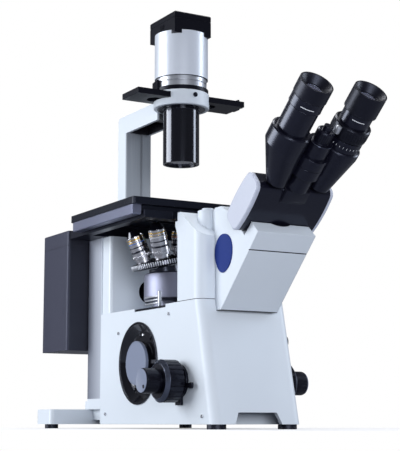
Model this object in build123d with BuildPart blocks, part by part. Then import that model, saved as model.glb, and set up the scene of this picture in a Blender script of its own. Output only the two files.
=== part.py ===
import os
from math import atan2, cos, degrees, pi, radians, sin

from build123d import *

os.makedirs("parts", exist_ok=True)

# An inverted microscope. X runs across it, +Y to its back and +Z up, and it stands on Z = 0.
# Lengths are millimetres. A setback is measured back from the front edge of the base.

# Clearances and overruns
running_gap = 0.05
seat_gap = 0.3
cut_over = 2.0

# Base casting
body_width = 130.0
body_depth = 318.0
foot_height = 6.0
base_top = 161.7
front_lean = 36.0
wall = 6.0
front_corner = 12.0
handhold_width = 70.0
handhold_top_width = 56.0
handhold_height = 14.5
handhold_depth = 44.0
handhold_sheet = 2.0
base_plate_thickness = 4.0

# Optical axis and viewing direction
axis_setback = 199.5
view_slope = 41.0
path_radius = 18.0

# Rear column, its cross foot and the housing behind it
column_depth = 43.0
column_top = 273.0
chest_width = 126.0
chest_depth = 25.0
chest_corner = 5.0
rear_port_height = 195.0
rear_port_radius = 17.0
column_clear_of_table = 27.0
foot_web_width = 116.0
foot_web_height = 12.0
column_well_width = 96.0
column_well_bottom = 125.0
column_well_top = 255.0
cross_foot_width = 248.0
cross_foot_lap = 4.0
cross_foot_depth = 52.0
cross_foot_height = 21.0
cross_foot_corner = 6.0
housing_width = 194.0
housing_gap = 4.0
housing_depth = 92.0
housing_bottom = 112.0
housing_seam = 266.3
housing_top = 288.0
housing_wall = 3.0
housing_corner = 4.0

# Side ports
port_setback = 200.5
port_height = 87.5
port_radius = 55.5
port_bore_radius = 54.0
port_edge = 3.0
port_slope = 9.0
port_sheet = 2.5
port_well_radius = 25.0
port_flange = 1.5
port_trough_depth = 9.0
port_cap_radius = 29.5
port_cap_thickness = 4.0
port_cap_plug = 6.0

# Rubber feet
pad_radius = 12.0
pad_setback = 16.0
pad_offset = 52.0
rear_pad_radius = 9.5
rear_pad_offset = 111.0

# Front column and neck
front_column_depth = 56.0
front_column_top = 278.0
front_column_corner = 14.0
ledge_length = 11.0
ledge_height = 267.0
ledge_edge = 6.0
ledge_flare = 13.0
scoop_setback = 85.0
scoop_low = 243.0
boss_radius = 13.0
boss_offset = 37.0
boss_setback = 62.0
boss_cap_radius = 7.5
boss_cap_height = 3.0
neck_width = 84.0
neck_foot_setback = 22.0
neck_foot_height = 147.0
neck_slope = 45.0
neck_length = 124.0
neck_pocket_depth = 22.0
neck_front_gap = 4.0
neck_back_gap = 4.0
neck_crown_setback = 20.0
neck_seam_drop = 28.0
neck_seam = 1.0
badge_setback = 13.0
badge_height = 217.5
badge_width = 43.0
badge_length = 48.5
badge_thickness = 1.2

# Observation head, in its own slanted frame: x across, y up and back, z along the tubes
head_setback = -50.6
head_height = 272.6
head_width = 112.0
head_thickness = 29.0
head_length = 75.0
head_corner = 10.0
head_bulge = 4.0
head_bore_radius = 11.0
head_wall = 4.0
head_cap_thickness = 5.0
head_ring_radius = 23.0
head_ring_length = 9.0
pivot_drop = 9.5
pivot_radius = 15.0
pivot_top = 108.0
pivot_bore_radius = 9.0
pivot_plate_width = 36.0
pivot_plate_length = 20.0
pivot_plate_thickness = 4.0
pivot_plate_reach = 22.0
pivot_cap_radius = 10.5
pivot_cap_height = 16.0
clamp_knob_radius = 5.5
clamp_knob_length = 6.0

# Eyepiece tubes
eye_spacing = 77.0
tube_foot_radius = 13.0
tube_foot_offset = 31.0
tube_foot = 42.0
tube_radius = 25.0
tube_shoulder = 91.0
left_tube_top = 113.0
right_tube_top = 101.0
tube_edge = 1.5
knuckle_radius = 19.0
knuckle_height = 13.6
left_knuckle = 60.0
sleeve_radius = 15.0
sleeve_depth = 24.0
eyepiece_radius = 19.5
eyepiece_band = 147.0
eyepiece_band_radius = 20.4
left_cup_foot = 161.0
eye_top = 179.5
left_cup_radius = 21.0
right_cup_radius = 21.0
right_cup_foot = 151.5
right_neck_radius = 18.7
scale_ring_top = 115.0
scale_ring_radius = 22.5
diopter_top = 134.0
diopter_radius = 23.5
cup_wall = 2.0
eye_lens_thickness = 5.0
cup_floor_depth = 9.0
eye_bore_radius = 10.0

# Focus mechanism
knob_setback = 83.0
knob_height = 60.0
fine_tip = 121.0
finger_hole_share = 0.6
finger_hole_angle = 40.0
fine_radius = 15.7
coarse_radius = 27.0
coarse_inner = 74.0
coarse_length = 24.5
coarse_chamfer = 5.0
ribs = 24
rib_depth = 1.2
tension_radius = 21.0
tension_length = 3.6
bush_radius = 12.0
bush_length = 8.0
tension_tab_reach = 30.0
tension_tab_width = 14.0
coarse_shaft_radius = 5.1
fine_shaft_radius = 3.0
lever_length = 37.0
lever_width = 6.0
lever_thickness = 3.0
lever_tab = 8.0
pinion_teeth = 12
tooth_module = 1.0
tooth_foot_width = 1.5
rack_flank = 75.0
pinion_length = 16.0
focus_setback = 222.0
drum_setback = 208.0
focus_radius = 47.0
focus_bottom = 175.0
focus_top = 212.0
stem_radius = 28.0
stem_bottom = 100.0
guide_radius = 36.0
guide_length = 52.0
guide_flange_front = 124.0
guide_flange_back = 213.0
guide_flange_thickness = 3.2
guide_flange_radius = 43.0
guide_pocket_depth = 4.2
light_bore_radius = 11.0
yoke_height = 12.0
yoke_offset = 27.0
yoke_width = 7.0
rack_thickness = 7.0
rack_bottom = 34.0
focus_down = 2.0
focus_up = 6.0

# Revolving nosepiece, in its own tilted frame
turret_angle = 13.0
turret_height = 226.0
turret_radius = 44.5
turret_thickness = 9.0
turret_edge = 2.0
turret_grips = 36
turret_grip_depth = 1.0
turret_bore_radius = 9.0
turret_gap = 1.0
seat_circle = 29.0
seat_count = 6
seat_radius = 14.0
seat_height = 2.0
nose_base_radius = 22.0
turret_cap_radius = 13.0
turret_cap_height = 3.0
objective_length_shares = (0.86, 1.0, 0.94, 0.9, 1.0, 0.8)
objective_radius_shares = (1.0, 0.92, 1.0, 0.85, 0.92, 1.0)
objective_length = 50.5
objective_radius = 13.0
objective_neck_radius = 10.0
objective_neck_share = 0.12
objective_band_share = 0.72
objective_band_width = 2.0
objective_tip_share = 0.82
objective_nose_share = 0.45
objective_bore_radius = 5.0
objective_wall = 2.0

# Stage
stage_width = 232.0
stage_setback = 118.0
stage_back_gap = 2.0
stage_top = 300.0
stage_thickness = 9.5
stage_step = 7.5
stage_step_inset = 18.0
stage_hole_radius = 55.0
stage_corner = 3.0
insert_thickness = 3.0
insert_ledge = 4.0
insert_hole_radius = 13.0
frame_width = 200.0
frame_thickness = 10.0
frame_setback = 117.0
frame_back_gap = 9.0
bay_width = 174.0
bay_front = 136.0
bay_back_gap = 14.0
tongue_width = 116.0
tongue_reach = 96.0
tongue_length = 14.0
rail_width = 13.0
rail_height = 13.5
rail_inset = 1.5
rail_setback = 124.0
rail_end_gap = 11.0
stage_hole_pitch_x = 180.0
stage_hole_pitch_y = 60.0
stage_tap_radius = 2.0
stage_tap_depth = 8.0

# Illumination pillar and arm
pillar_width = 40.4
pillar_depth = 28.6
pillar_inset = 12.0
pillar_wall = 3.0
groove_width = 12.0
arm_chamfer = 4.0
arm_top = 463.5
arm_bottom = 437.0
arm_top_wall = 5.0
collar_radius = 39.5
collar_bore_radius = 30.0
collar_throat_radius = 22.0
collar_throat_height = 4.0
collar_bottom = 446.4
collar_top = 467.5
collar_screw_radius = 2.6
arm_root_web = 8.0

# Condenser, slider and lamp house
condenser_radius = 25.6
condenser_bottom = 367.0
condenser_wall = 2.5
condenser_recess = 3.0
condenser_lens_radius = 20.5
condenser_lens_thickness = 7.0
slider_length = 171.0
slider_left = 81.0
slider_width = 49.0
slider_thickness = 8.0
slider_bottom = 456.0
slider_hole_radius = 12.0
slider_hole_pitch = 42.0
slider_knob_radius = 5.0
slider_knob_rise = 10.0
slider_end_thickness = 2.5
slider_fit = 0.25
slider_knob_length = 9.0
slider_travel = 42.0
diaphragm_radius = 38.5
spigot_radius = 34.0
lamp_bore_radius = 17.0
diaphragm_top = 473.8
lever_tab_height = 16.0
lever_tab_width = 22.0
lever_tab_thickness = 3.4
lever_tab_angle = 170.0
lamp_base_radius = 36.0
lamp_base_top = 488.5
lamp_groove = 1.2
lamp_radius = 37.9
lamp_wall = 2.5
lamp_top = 553.0
cap_width = 58.6
cap_depth = 73.6
cap_setback = 202.8
cap_bottom = 547.8
cap_lip = 569.4
cap_top = 579.0
cap_wall = 2.5
vent_count = 4
vent_width = 1.6
vent_pitch = 3.4
vent_height = 11.0
socket_radius = 15.0
socket_height = 14.0
bulb_radius = 6.0
bulb_length = 22.0
collector_radius = 20.0
collector_thickness = 7.0

# Mirrors, tube lens and power
mirror_width = 40.0
mirror_length = 56.0
mirror_thickness = 5.0
mirror_mount_width = 24.0
seam_bevel = 1.0
cap_bevel = 1.5
tube_lens_radius = 17.5
tube_lens_thickness = 6.0
tube_lens_ring = 3.0
tube_lens_reach = 66.0
supply_width = 120.0
supply_depth = 60.0
supply_height = 90.0
inlet_width = 28.0
inlet_height = 22.0
inlet_depth = 20.0
inlet_offset = 60.0
inlet_rise = 26.0
inlet_slot_width = 22.0
inlet_slot_height = 16.0
inlet_slot_depth = 14.0
inlet_pin_length = 10.0
inlet_pin_width = 4.0
inlet_pin_thickness = 2.0
inlet_pin_pitch = 7.0
switch_setback = 48.0
switch_height = 34.0
switch_length = 22.0
switch_breadth = 12.0
switch_stand = 3.0
switch_radius = 10.6
switch_back = 5.0
switch_ear = 4.0
switch_ear_reach = 9.0
switch_axle_radius = 1.5
dial_setback = 48.0
dial_height = 112.0
dial_radius = 9.0
dial_stand = 6.0
dial_shaft_radius = 3.0
screw_head_radius = 2.2
screw_head_height = 1.4

badge_shares = (
    (0.0, 1.0),
    (0.72, 0.72),
    (1.0, 0.1),
    (0.78, -0.58),
    (0.2, -1.0),
    (-0.45, -0.8),
    (-0.9, -0.1),
    (-0.72, 0.7),
)

# Places worked out from the sizes above
screw_places = ((28.0, 16.0), (300.0, 20.0), (260.0, 131.0), (114.0, 148.0))
column_back = body_depth + column_depth
cross_foot_setback = column_back - cross_foot_lap
rear_pad_setback = cross_foot_setback + cross_foot_depth / 2
housing_setback = column_back + housing_gap
pillar_setback = body_depth + pillar_inset
bay_back = body_depth - bay_back_gap
stage_depth = body_depth - stage_back_gap - stage_setback
rail_depth = stage_depth - rail_end_gap
frame_depth = column_back - frame_back_gap - frame_setback
slope = radians(view_slope)
right_knuckle = left_knuckle + knuckle_height + 2 * seat_gap
front_reach = eye_top * cos(slope) + right_cup_radius * sin(slope) - head_setback
rear_reach = housing_setback + housing_depth
front_y = (front_reach - rear_reach) / 2
axis_y = front_y + axis_setback
half_body = body_width / 2
column_y = front_y + body_depth
front_column_y = front_y + front_lean
knob_y = front_y + knob_setback
focus_y = front_y + focus_setback
port_y = front_y + port_setback
stage_bottom = stage_top - stage_thickness - stage_step
frame_bottom = stage_bottom - frame_thickness
pinion_pitch_radius = pinion_teeth * tooth_module / 2
tooth_pitch = pi * tooth_module

# Frames of the slanted head and of the tilted nosepiece
head_plane = Plane(
    origin=(0, front_y + head_setback, head_height),
    x_dir=(1, 0, 0),
    z_dir=(0, -cos(slope), sin(slope)),
)
pivot_foot = head_plane.from_local_coords((0, -pivot_drop, 0))
pivot_plane = Plane(pivot_foot, x_dir=(1, 0, 0), z_dir=head_plane.z_dir)
pivot_axis = Axis(pivot_plane.origin, pivot_plane.z_dir)
tilt = radians(turret_angle)
turret_x = turret_thickness / 2 * sin(tilt) - seat_circle * cos(tilt)
turret_plane = Plane(
    origin=(turret_x, axis_y, turret_height), x_dir=(0, 1, 0), z_dir=(-sin(tilt), 0, cos(tilt))
)

# The path of light leaves the lower mirror on the optical axis and rises through the head
view_y = front_y + head_setback
view_run = (axis_y - view_y) / cos(slope)
mirror_z = head_height - view_run * sin(slope)
tube_lens_run = view_run - tube_lens_reach
path_plane = Plane(origin=(0, axis_y, mirror_z), x_dir=(1, 0, 0), z_dir=head_plane.z_dir)

# Base casting: a shell, open below, with a leaning front
with BuildPart() as base_frame:
    with BuildSketch(Plane.YZ) as base_side:
        with BuildLine():
            Polyline(
                (front_y, foot_height),
                (front_column_y, base_top),
                (column_y, base_top),
                (column_y, foot_height),
                close=True,
            )
        make_face()
    extrude(amount=half_body, both=True)
    base_front = base_frame.faces().sort_by(Axis.Y)[0]
    fillet(base_front.edges().filter_by(Axis.X, reverse=True), front_corner)
    with BuildSketch(Plane.YZ) as base_inside:
        with BuildLine():
            Polyline(
                (front_y + wall, foot_height - cut_over),
                (front_column_y + wall, base_top - wall),
                (column_y - wall, base_top - wall),
                (column_y - wall, foot_height - cut_over),
                close=True,
            )
        make_face()
    extrude(amount=half_body - wall, both=True, mode=Mode.SUBTRACT)
    with BuildSketch(Plane.YZ.offset(-half_body - cut_over)):
        with Locations((port_y, port_height)):
            Circle(port_bore_radius + seat_gap)
        with Locations((knob_y, knob_height)):
            Circle(coarse_shaft_radius + running_gap)
    extrude(amount=body_width + 2 * cut_over, mode=Mode.SUBTRACT)
    with BuildSketch(Plane.XZ.offset(-front_y + cut_over)) as handhold_cut:
        with BuildLine():
            Polyline(
                (-handhold_width / 2, foot_height - cut_over),
                (-handhold_top_width / 2, foot_height + handhold_height),
                (handhold_top_width / 2, foot_height + handhold_height),
                (handhold_width / 2, foot_height - cut_over),
                close=True,
            )
        make_face()
        fillet(handhold_cut.vertices().group_by(Axis.Y)[-1], handhold_sheet)
    extrude(amount=-wall - front_lean / 2, mode=Mode.SUBTRACT)
    with BuildSketch(Plane.XY.offset(base_top - wall - cut_over)):
        with Locations((0, focus_y)):
            Circle(guide_radius + seat_gap)
    extrude(amount=wall + 2 * cut_over, mode=Mode.SUBTRACT)
    with BuildSketch(path_plane):
        Circle(path_radius)
    extrude(amount=view_run, mode=Mode.SUBTRACT)
    with BuildSketch(Plane.YZ.offset(half_body - wall - cut_over)):
        with Locations((front_y + switch_setback, switch_height)):
            Rectangle(switch_length, switch_breadth)
        with Locations((front_y + dial_setback, dial_height)):
            Circle(dial_shaft_radius + running_gap)
    extrude(amount=wall + 2 * cut_over, mode=Mode.SUBTRACT)
    with BuildSketch(Plane.XY.offset(base_top - guide_pocket_depth)):
        with Locations((0, front_y + (guide_flange_front + guide_flange_back) / 2)):
            Rectangle(body_width + 2 * cut_over, guide_flange_back - guide_flange_front)
        with Locations((0, focus_y)):
            Circle(guide_flange_radius + seat_gap)
    extrude(amount=guide_pocket_depth + cut_over, mode=Mode.SUBTRACT)
    for side in (-1, 1):
        with BuildSketch(Plane.YZ.offset(side * (half_body - wall))):
            with Locations((knob_y, knob_height)):
                Circle(bush_radius)
                Circle(coarse_shaft_radius + running_gap, mode=Mode.SUBTRACT)
        extrude(amount=side * (wall + bush_length))
    for side in (-1, 1):
        with BuildSketch(Plane.XY.offset(switch_height + side * (switch_breadth / 2 + switch_ear))):
            with Locations((half_body - wall - switch_ear_reach / 2, front_y + switch_setback)):
                Rectangle(switch_ear_reach, switch_ear_reach)
            with Locations((half_body + switch_stand - switch_radius, front_y + switch_setback)):
                Circle(switch_axle_radius + running_gap, mode=Mode.SUBTRACT)
        extrude(amount=-side * (switch_ear - seat_gap))
base_frame.part.label = "base_frame"
export_step(base_frame.part, "parts/base_frame.step")

# Bright sheet lining of the handhold under the front edge
liner_lean = front_lean * (handhold_height + handhold_sheet) / (base_top - foot_height)
liner_front = front_y + wall + liner_lean + 2 * seat_gap
with BuildPart() as handhold_liner:
    with BuildSketch(Plane.YZ):
        with BuildLine():
            Polyline(
                (liner_front, foot_height + handhold_height - seat_gap),
                (front_y + handhold_depth, foot_height + handhold_height - seat_gap),
                (front_y + handhold_depth, foot_height),
                (front_y + handhold_depth + handhold_sheet, foot_height),
                (front_y + handhold_depth + handhold_sheet, foot_height + handhold_height + handhold_sheet),
                (liner_front, foot_height + handhold_height + handhold_sheet),
                close=True,
            )
        make_face()
    extrude(amount=half_body - wall, both=True)
handhold_liner.part.label = "handhold_liner"
export_step(handhold_liner.part, "parts/handhold_liner.step")

# Screws let into both side walls of the base
with BuildPart() as cover_screws:
    for side in (-1, 1):
        with BuildSketch(Plane.YZ.offset(side * half_body)):
            for setback, height in screw_places:
                with Locations((front_y + setback, height)):
                    Circle(screw_head_radius)
        extrude(amount=side * screw_head_height)
        with BuildSketch(Plane.YZ.offset(side * (half_body + screw_head_height))):
            for setback, height in screw_places:
                with Locations((front_y + setback, height)):
                    RegularPolygon(screw_head_radius / 2, 6)
        extrude(amount=-side * screw_head_height / 2, mode=Mode.SUBTRACT)
cover_screws.part.label = "cover_screws"
export_step(cover_screws.part, "parts/cover_screws.step")

# Rear column: a casting with a chest over the base, a well at its back and a wide foot
with BuildPart() as rear_column:
    with BuildSketch(Plane.XY.offset(column_clear_of_table)):
        with Locations((0, column_y + column_depth / 2)):
            Rectangle(body_width, column_depth)
    extrude(amount=column_top - column_clear_of_table)
    with BuildSketch(Plane.XY.offset(base_top)) as chest:
        with Locations((0, column_y - chest_depth / 2)):
            Rectangle(chest_width, chest_depth)
        fillet(chest.vertices().group_by(Axis.Y)[0], chest_corner)
    extrude(amount=column_top - base_top)
    foot_y = front_y + cross_foot_setback + cross_foot_depth / 2
    with BuildSketch(Plane.XY.offset(foot_height)):
        with Locations((0, foot_y)):
            RectangleRounded(cross_foot_width, cross_foot_depth, cross_foot_corner)
    extrude(amount=cross_foot_height)
    web_front = column_y + wall
    with BuildSketch(Plane.XY.offset(foot_web_height)):
        with Locations((0, (web_front + foot_y) / 2)):
            Rectangle(foot_web_width, foot_y - web_front)
    extrude(amount=column_clear_of_table)
    well_bottom = column_y - chest_depth + wall
    with BuildSketch(Plane.XZ.offset(-well_bottom)):
        with Locations((0, (column_well_bottom + column_well_top) / 2)):
            Rectangle(column_well_width, column_well_top - column_well_bottom)
    extrude(amount=-(column_depth + chest_depth + cut_over), mode=Mode.SUBTRACT)
    with BuildSketch(Plane.XZ.offset(-(column_y - chest_depth - cut_over))):
        with Locations((0, rear_port_height)):
            Circle(rear_port_radius)
    extrude(amount=-(wall + 2 * cut_over), mode=Mode.SUBTRACT)
rear_column.part.label = "rear_column"
export_step(rear_column.part, "parts/rear_column.step")

# Housing at the back, open at the top, with a pad that carries it on the column
with BuildPart() as rear_housing:
    housing_y = front_y + housing_setback + housing_depth / 2
    with BuildSketch(Plane.XY.offset(housing_bottom)):
        with Locations((0, housing_y)):
            RectangleRounded(housing_width, housing_depth, housing_corner)
    extrude(amount=housing_seam - housing_bottom)
    with BuildSketch(Plane.XY.offset(housing_bottom + housing_wall)):
        with Locations((0, housing_y)):
            Rectangle(housing_width - 2 * housing_wall, housing_depth - 2 * housing_wall)
    extrude(amount=housing_seam, mode=Mode.SUBTRACT)
    pad_front = column_y + column_depth
    pad_back = front_y + housing_setback
    for side in (-1, 1):
        with BuildSketch(Plane.XY.offset(housing_bottom)):
            with Locations((side * (half_body - wall), (pad_front + pad_back) / 2)):
                Rectangle(wall, pad_back - pad_front)
        extrude(amount=housing_seam - housing_bottom)
    with BuildSketch(Plane.XZ.offset(-(front_y + rear_reach - housing_wall - cut_over))):
        with Locations((inlet_offset, housing_bottom + inlet_rise)):
            Rectangle(inlet_width, inlet_height)
    extrude(amount=-(housing_wall + 2 * cut_over), mode=Mode.SUBTRACT)
rear_housing.part.label = "rear_housing"
export_step(rear_housing.part, "parts/rear_housing.step")

with BuildPart() as rear_housing_lid:
    with BuildSketch(Plane.XY.offset(housing_seam)):
        with Locations((0, housing_y)):
            RectangleRounded(housing_width, housing_depth, housing_corner)
    extrude(amount=housing_top - housing_seam)
    with BuildSketch(Plane.XY.offset(housing_seam - cut_over)):
        with Locations((0, housing_y)):
            Rectangle(housing_width - 2 * housing_wall, housing_depth - 2 * housing_wall)
    extrude(amount=housing_top - housing_seam + cut_over - housing_wall, mode=Mode.SUBTRACT)
    chamfer(rear_housing_lid.faces().sort_by(Axis.Z)[-1].edges(), seam_bevel)
rear_housing_lid.part.label = "rear_housing_lid"
export_step(rear_housing_lid.part, "parts/rear_housing_lid.step")

# Power supply on the floor of the housing, and the appliance inlet through its back wall
with BuildPart() as power_supply:
    with BuildSketch(Plane.XY.offset(housing_bottom + housing_wall)):
        with Locations((-housing_width / 2 + housing_wall + supply_width / 2, housing_y)):
            Rectangle(supply_width, supply_depth)
    extrude(amount=supply_height)
power_supply.part.label = "power_supply"
export_step(power_supply.part, "parts/power_supply.step")

with BuildPart() as power_inlet:
    inlet_z = housing_bottom + inlet_rise
    with BuildSketch(Plane.XZ.offset(-(front_y + rear_reach))):
        with Locations((inlet_offset, inlet_z)):
            Rectangle(inlet_width, inlet_height)
    extrude(amount=inlet_depth)
    with BuildSketch(Plane.XZ.offset(-(front_y + rear_reach))):
        with Locations((inlet_offset, inlet_z)):
            Rectangle(inlet_slot_width, inlet_slot_height)
    extrude(amount=inlet_slot_depth, mode=Mode.SUBTRACT)
    with BuildSketch(Plane.XZ.offset(-(front_y + rear_reach - inlet_slot_depth))):
        with Locations((inlet_offset, inlet_z)):
            with GridLocations(inlet_pin_pitch, 0, 3, 1):
                Rectangle(inlet_pin_thickness, inlet_pin_width)
    extrude(amount=-inlet_pin_length)
power_inlet.part.label = "power_inlet"
export_step(power_inlet.part, "parts/power_inlet.step")

# Dished port rings in both side walls, with their caps
with BuildPart() as port_rings:
    for side in (-1, 1):
        outer = half_body + port_flange
        floor = outer - port_trough_depth
        with BuildSketch(Plane(origin=(0, port_y, port_height), x_dir=(side, 0, 0), z_dir=(0, -side, 0))):
            with BuildLine():
                Polyline(
                    (half_body, port_bore_radius),
                    (half_body, port_radius),
                    (outer, port_radius),
                    (outer, port_radius - port_edge),
                    (floor, port_radius - port_edge - port_slope),
                    (floor, port_cap_radius),
                    (half_body, port_cap_radius),
                    (half_body, port_well_radius),
                    (floor - port_sheet, port_well_radius),
                    (floor - port_sheet, port_bore_radius),
                    close=True,
                )
            make_face()
        revolve(axis=Axis((0, port_y, port_height), (1, 0, 0)))
port_rings.part.label = "port_rings"
export_step(port_rings.part, "parts/port_rings.step")

with BuildPart() as port_caps:
    for side in (-1, 1):
        with BuildSketch(Plane.YZ.offset(side * half_body)):
            with Locations((port_y, port_height)):
                Circle(port_cap_radius)
        extrude(amount=side * port_cap_thickness)
        with BuildSketch(Plane.YZ.offset(side * half_body)):
            with Locations((port_y, port_height)):
                Circle(port_well_radius)
        extrude(amount=-side * port_cap_plug)
port_caps.part.label = "port_caps"
export_step(port_caps.part, "parts/port_caps.step")

# Rubber feet
with BuildPart() as feet:
    with BuildSketch():
        with Locations((-pad_offset, front_y + pad_setback), (pad_offset, front_y + pad_setback)):
            Circle(pad_radius)
        rear_pad_y = front_y + rear_pad_setback
        with Locations((-rear_pad_offset, rear_pad_y), (rear_pad_offset, rear_pad_y)):
            Circle(rear_pad_radius)
    extrude(amount=foot_height)
feet.part.label = "feet"
export_step(feet.part, "parts/feet.step")

# Front column with scooped shoulders, round bosses and a ledge for the stage
with BuildPart() as front_column:
    back_y = front_column_y + front_column_depth
    with BuildSketch(Plane.YZ):
        with BuildLine():
            Polyline(
                (front_column_y, base_top),
                (front_column_y, scoop_low),
                (front_y + scoop_setback, front_column_top),
                (back_y, front_column_top),
                (back_y, ledge_height),
                (back_y + ledge_edge, ledge_height),
                (back_y + ledge_edge, ledge_height - ledge_edge),
                (back_y, ledge_height - ledge_edge - ledge_flare),
                (back_y, base_top),
                close=True,
            )
        make_face()
    extrude(amount=half_body, both=True)
    fillet(front_column.edges().filter_by(Axis.Z).group_by(Axis.Y)[0], front_column_corner)
    boss_y = front_y + boss_setback
    with BuildSketch(Plane.XY.offset(scoop_low - wall)):
        with Locations((0, (front_column_y + back_y) / 2)):
            Rectangle(2 * boss_offset, front_column_depth)
        with Locations((-boss_offset, boss_y), (boss_offset, boss_y)):
            Circle(boss_radius)
    extrude(amount=front_column_top - scoop_low + wall)
    with BuildSketch(Plane.XY.offset(front_column_top)):
        with Locations((-boss_offset, boss_y), (boss_offset, boss_y)):
            Circle(boss_cap_radius)
    extrude(amount=boss_cap_height)
    with BuildSketch(Plane.XY.offset(base_top - cut_over)):
        with Locations((0, (front_column_y + back_y) / 2)):
            Rectangle(body_width - 2 * wall, front_column_depth - 2 * wall)
    extrude(amount=scoop_low - base_top + cut_over - wall, mode=Mode.SUBTRACT)
    with BuildSketch(path_plane):
        Circle(path_radius)
    extrude(amount=view_run - head_length / 2, mode=Mode.SUBTRACT)
front_column.part.label = "front_column"
export_step(front_column.part, "parts/front_column.step")

# Neck that carries the head, with a pocket square to the viewing direction
half_head = head_thickness / 2
head_foot = head_length / 2
rim_front = -half_head - neck_front_gap
rim_back = half_head + neck_back_gap
neck_run = neck_length * cos(radians(neck_slope))
neck_toe_y = front_y + neck_foot_setback - neck_run
neck_toe_z = neck_foot_height + neck_run
pocket_foot = head_plane.from_local_coords((0, 0, -head_foot))
rim_top = head_plane.from_local_coords((0, rim_front, neck_pocket_depth - head_foot))
pocket_front = head_plane.from_local_coords((0, rim_front, -head_foot))
pocket_back = head_plane.from_local_coords((0, rim_back, -head_foot))
base_lean = front_lean / (base_top - foot_height)
with BuildPart() as neck:
    with BuildSketch(Plane.YZ):
        with BuildLine():
            Polyline(
                (front_y + neck_foot_setback, neck_foot_height),
                (neck_toe_y, neck_toe_z),
                (rim_top.Y, rim_top.Z),
                (pocket_front.Y, pocket_front.Z),
                (pocket_back.Y, pocket_back.Z),
                (front_y + neck_crown_setback, front_column_top),
                (front_column_y, front_column_top),
                (front_column_y, base_top),
                (front_y + (neck_foot_height - foot_height) * base_lean, neck_foot_height),
                close=True,
            )
        make_face()
    extrude(amount=neck_width / 2, both=True)
    seam_y = neck_toe_y + neck_seam_drop * cos(radians(neck_slope))
    seam_z = neck_toe_z - neck_seam_drop * sin(radians(neck_slope))
    with BuildSketch(Plane.YZ):
        with Locations((seam_y, seam_z)):
            Rectangle(neck_seam, neck_seam)
    extrude(amount=neck_width, both=True, mode=Mode.SUBTRACT)
    with BuildSketch(head_plane.offset(-head_foot)):
        Circle(head_ring_radius + seat_gap)
    extrude(amount=neck_pocket_depth + cut_over, mode=Mode.SUBTRACT)
    with BuildSketch(path_plane):
        Circle(path_radius)
    extrude(amount=tube_lens_run, mode=Mode.SUBTRACT)
    with BuildSketch(path_plane):
        Circle(path_radius - tube_lens_ring)
    extrude(amount=view_run, mode=Mode.SUBTRACT)
neck.part.label = "neck"
export_step(neck.part, "parts/neck.step")

# Plain egg-shaped badges on both sides of the neck
with BuildPart() as side_badges:
    for side in (-1, 1):
        with BuildSketch(Plane.YZ.offset(side * neck_width / 2)):
            with BuildLine():
                Spline(
                    *[
                        (front_y + badge_setback + badge_width / 2 * u, badge_height + badge_length / 2 * v)
                        for u, v in badge_shares
                    ],
                    periodic=True,
                )
            make_face()
        extrude(amount=side * badge_thickness)
side_badges.part.label = "side_badges"
export_step(side_badges.part, "parts/side_badges.step")

# Tube lens against the shoulder in the neck
with BuildPart() as tube_lens:
    with BuildSketch(path_plane.offset(tube_lens_run - tube_lens_thickness)):
        Circle(path_radius - running_gap)
    extrude(amount=tube_lens_thickness)
tube_lens.part.label = "tube_lens"
export_step(tube_lens.part, "parts/tube_lens.step")

# Lower mirror, turning the light from the optical axis up the viewing direction
mirror_angle = degrees(atan2(cos(slope), 1 + sin(slope)))
mirror_plane = Plane(
    origin=(0, axis_y, mirror_z),
    x_dir=(1, 0, 0),
    z_dir=(0, -sin(radians(mirror_angle)), cos(radians(mirror_angle))),
)
with BuildPart() as mirror:
    with BuildSketch(mirror_plane.offset(-mirror_thickness)):
        Rectangle(mirror_width, mirror_length)
    extrude(amount=mirror_thickness)
mirror.part.label = "mirror"
export_step(mirror.part, "parts/mirror.step")

# Floor of the base, screwed up inside the shell, with the block that carries the mirror
mirror_low = mirror_plane.from_local_coords((0, -mirror_length / 2, -mirror_thickness))
mirror_high = mirror_plane.from_local_coords((0, mirror_length / 2, -mirror_thickness))
plate_front = front_y + handhold_depth + handhold_sheet + seat_gap
plate_back = column_y - wall - seat_gap
with BuildPart() as base_plate:
    with BuildSketch(Plane.XY.offset(foot_height)):
        with Locations((0, (plate_front + plate_back) / 2)):
            Rectangle(body_width - 2 * wall, plate_back - plate_front)
    extrude(amount=base_plate_thickness)
    with BuildSketch(Plane.YZ):
        with BuildLine():
            Polyline(
                (mirror_low.Y, mirror_low.Z),
                (mirror_high.Y, mirror_high.Z),
                (mirror_high.Y, foot_height),
                (mirror_low.Y, foot_height),
                close=True,
            )
        make_face()
    extrude(amount=mirror_mount_width / 2, both=True)
base_plate.part.label = "base_plate"
export_step(base_plate.part, "parts/base_plate.step")

# Head block with bulging front and back and a round foot, bored for the light
head_side = Plane(origin=head_plane.origin, x_dir=head_plane.y_dir, z_dir=(1, 0, 0))


def head_outline(offset):
    with BuildSketch(head_side.offset(offset)) as outline:
        with BuildLine():
            ThreePointArc((-half_head, head_foot), (-half_head - head_bulge, 0), (-half_head, -head_foot))
            Line((-half_head, -head_foot), (half_head, -head_foot))
            ThreePointArc((half_head, -head_foot), (half_head + head_bulge, 0), (half_head, head_foot))
            Line((half_head, head_foot), (-half_head, head_foot))
        make_face()
        fillet(outline.vertices(), head_corner)
    return outline.sketch


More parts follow.
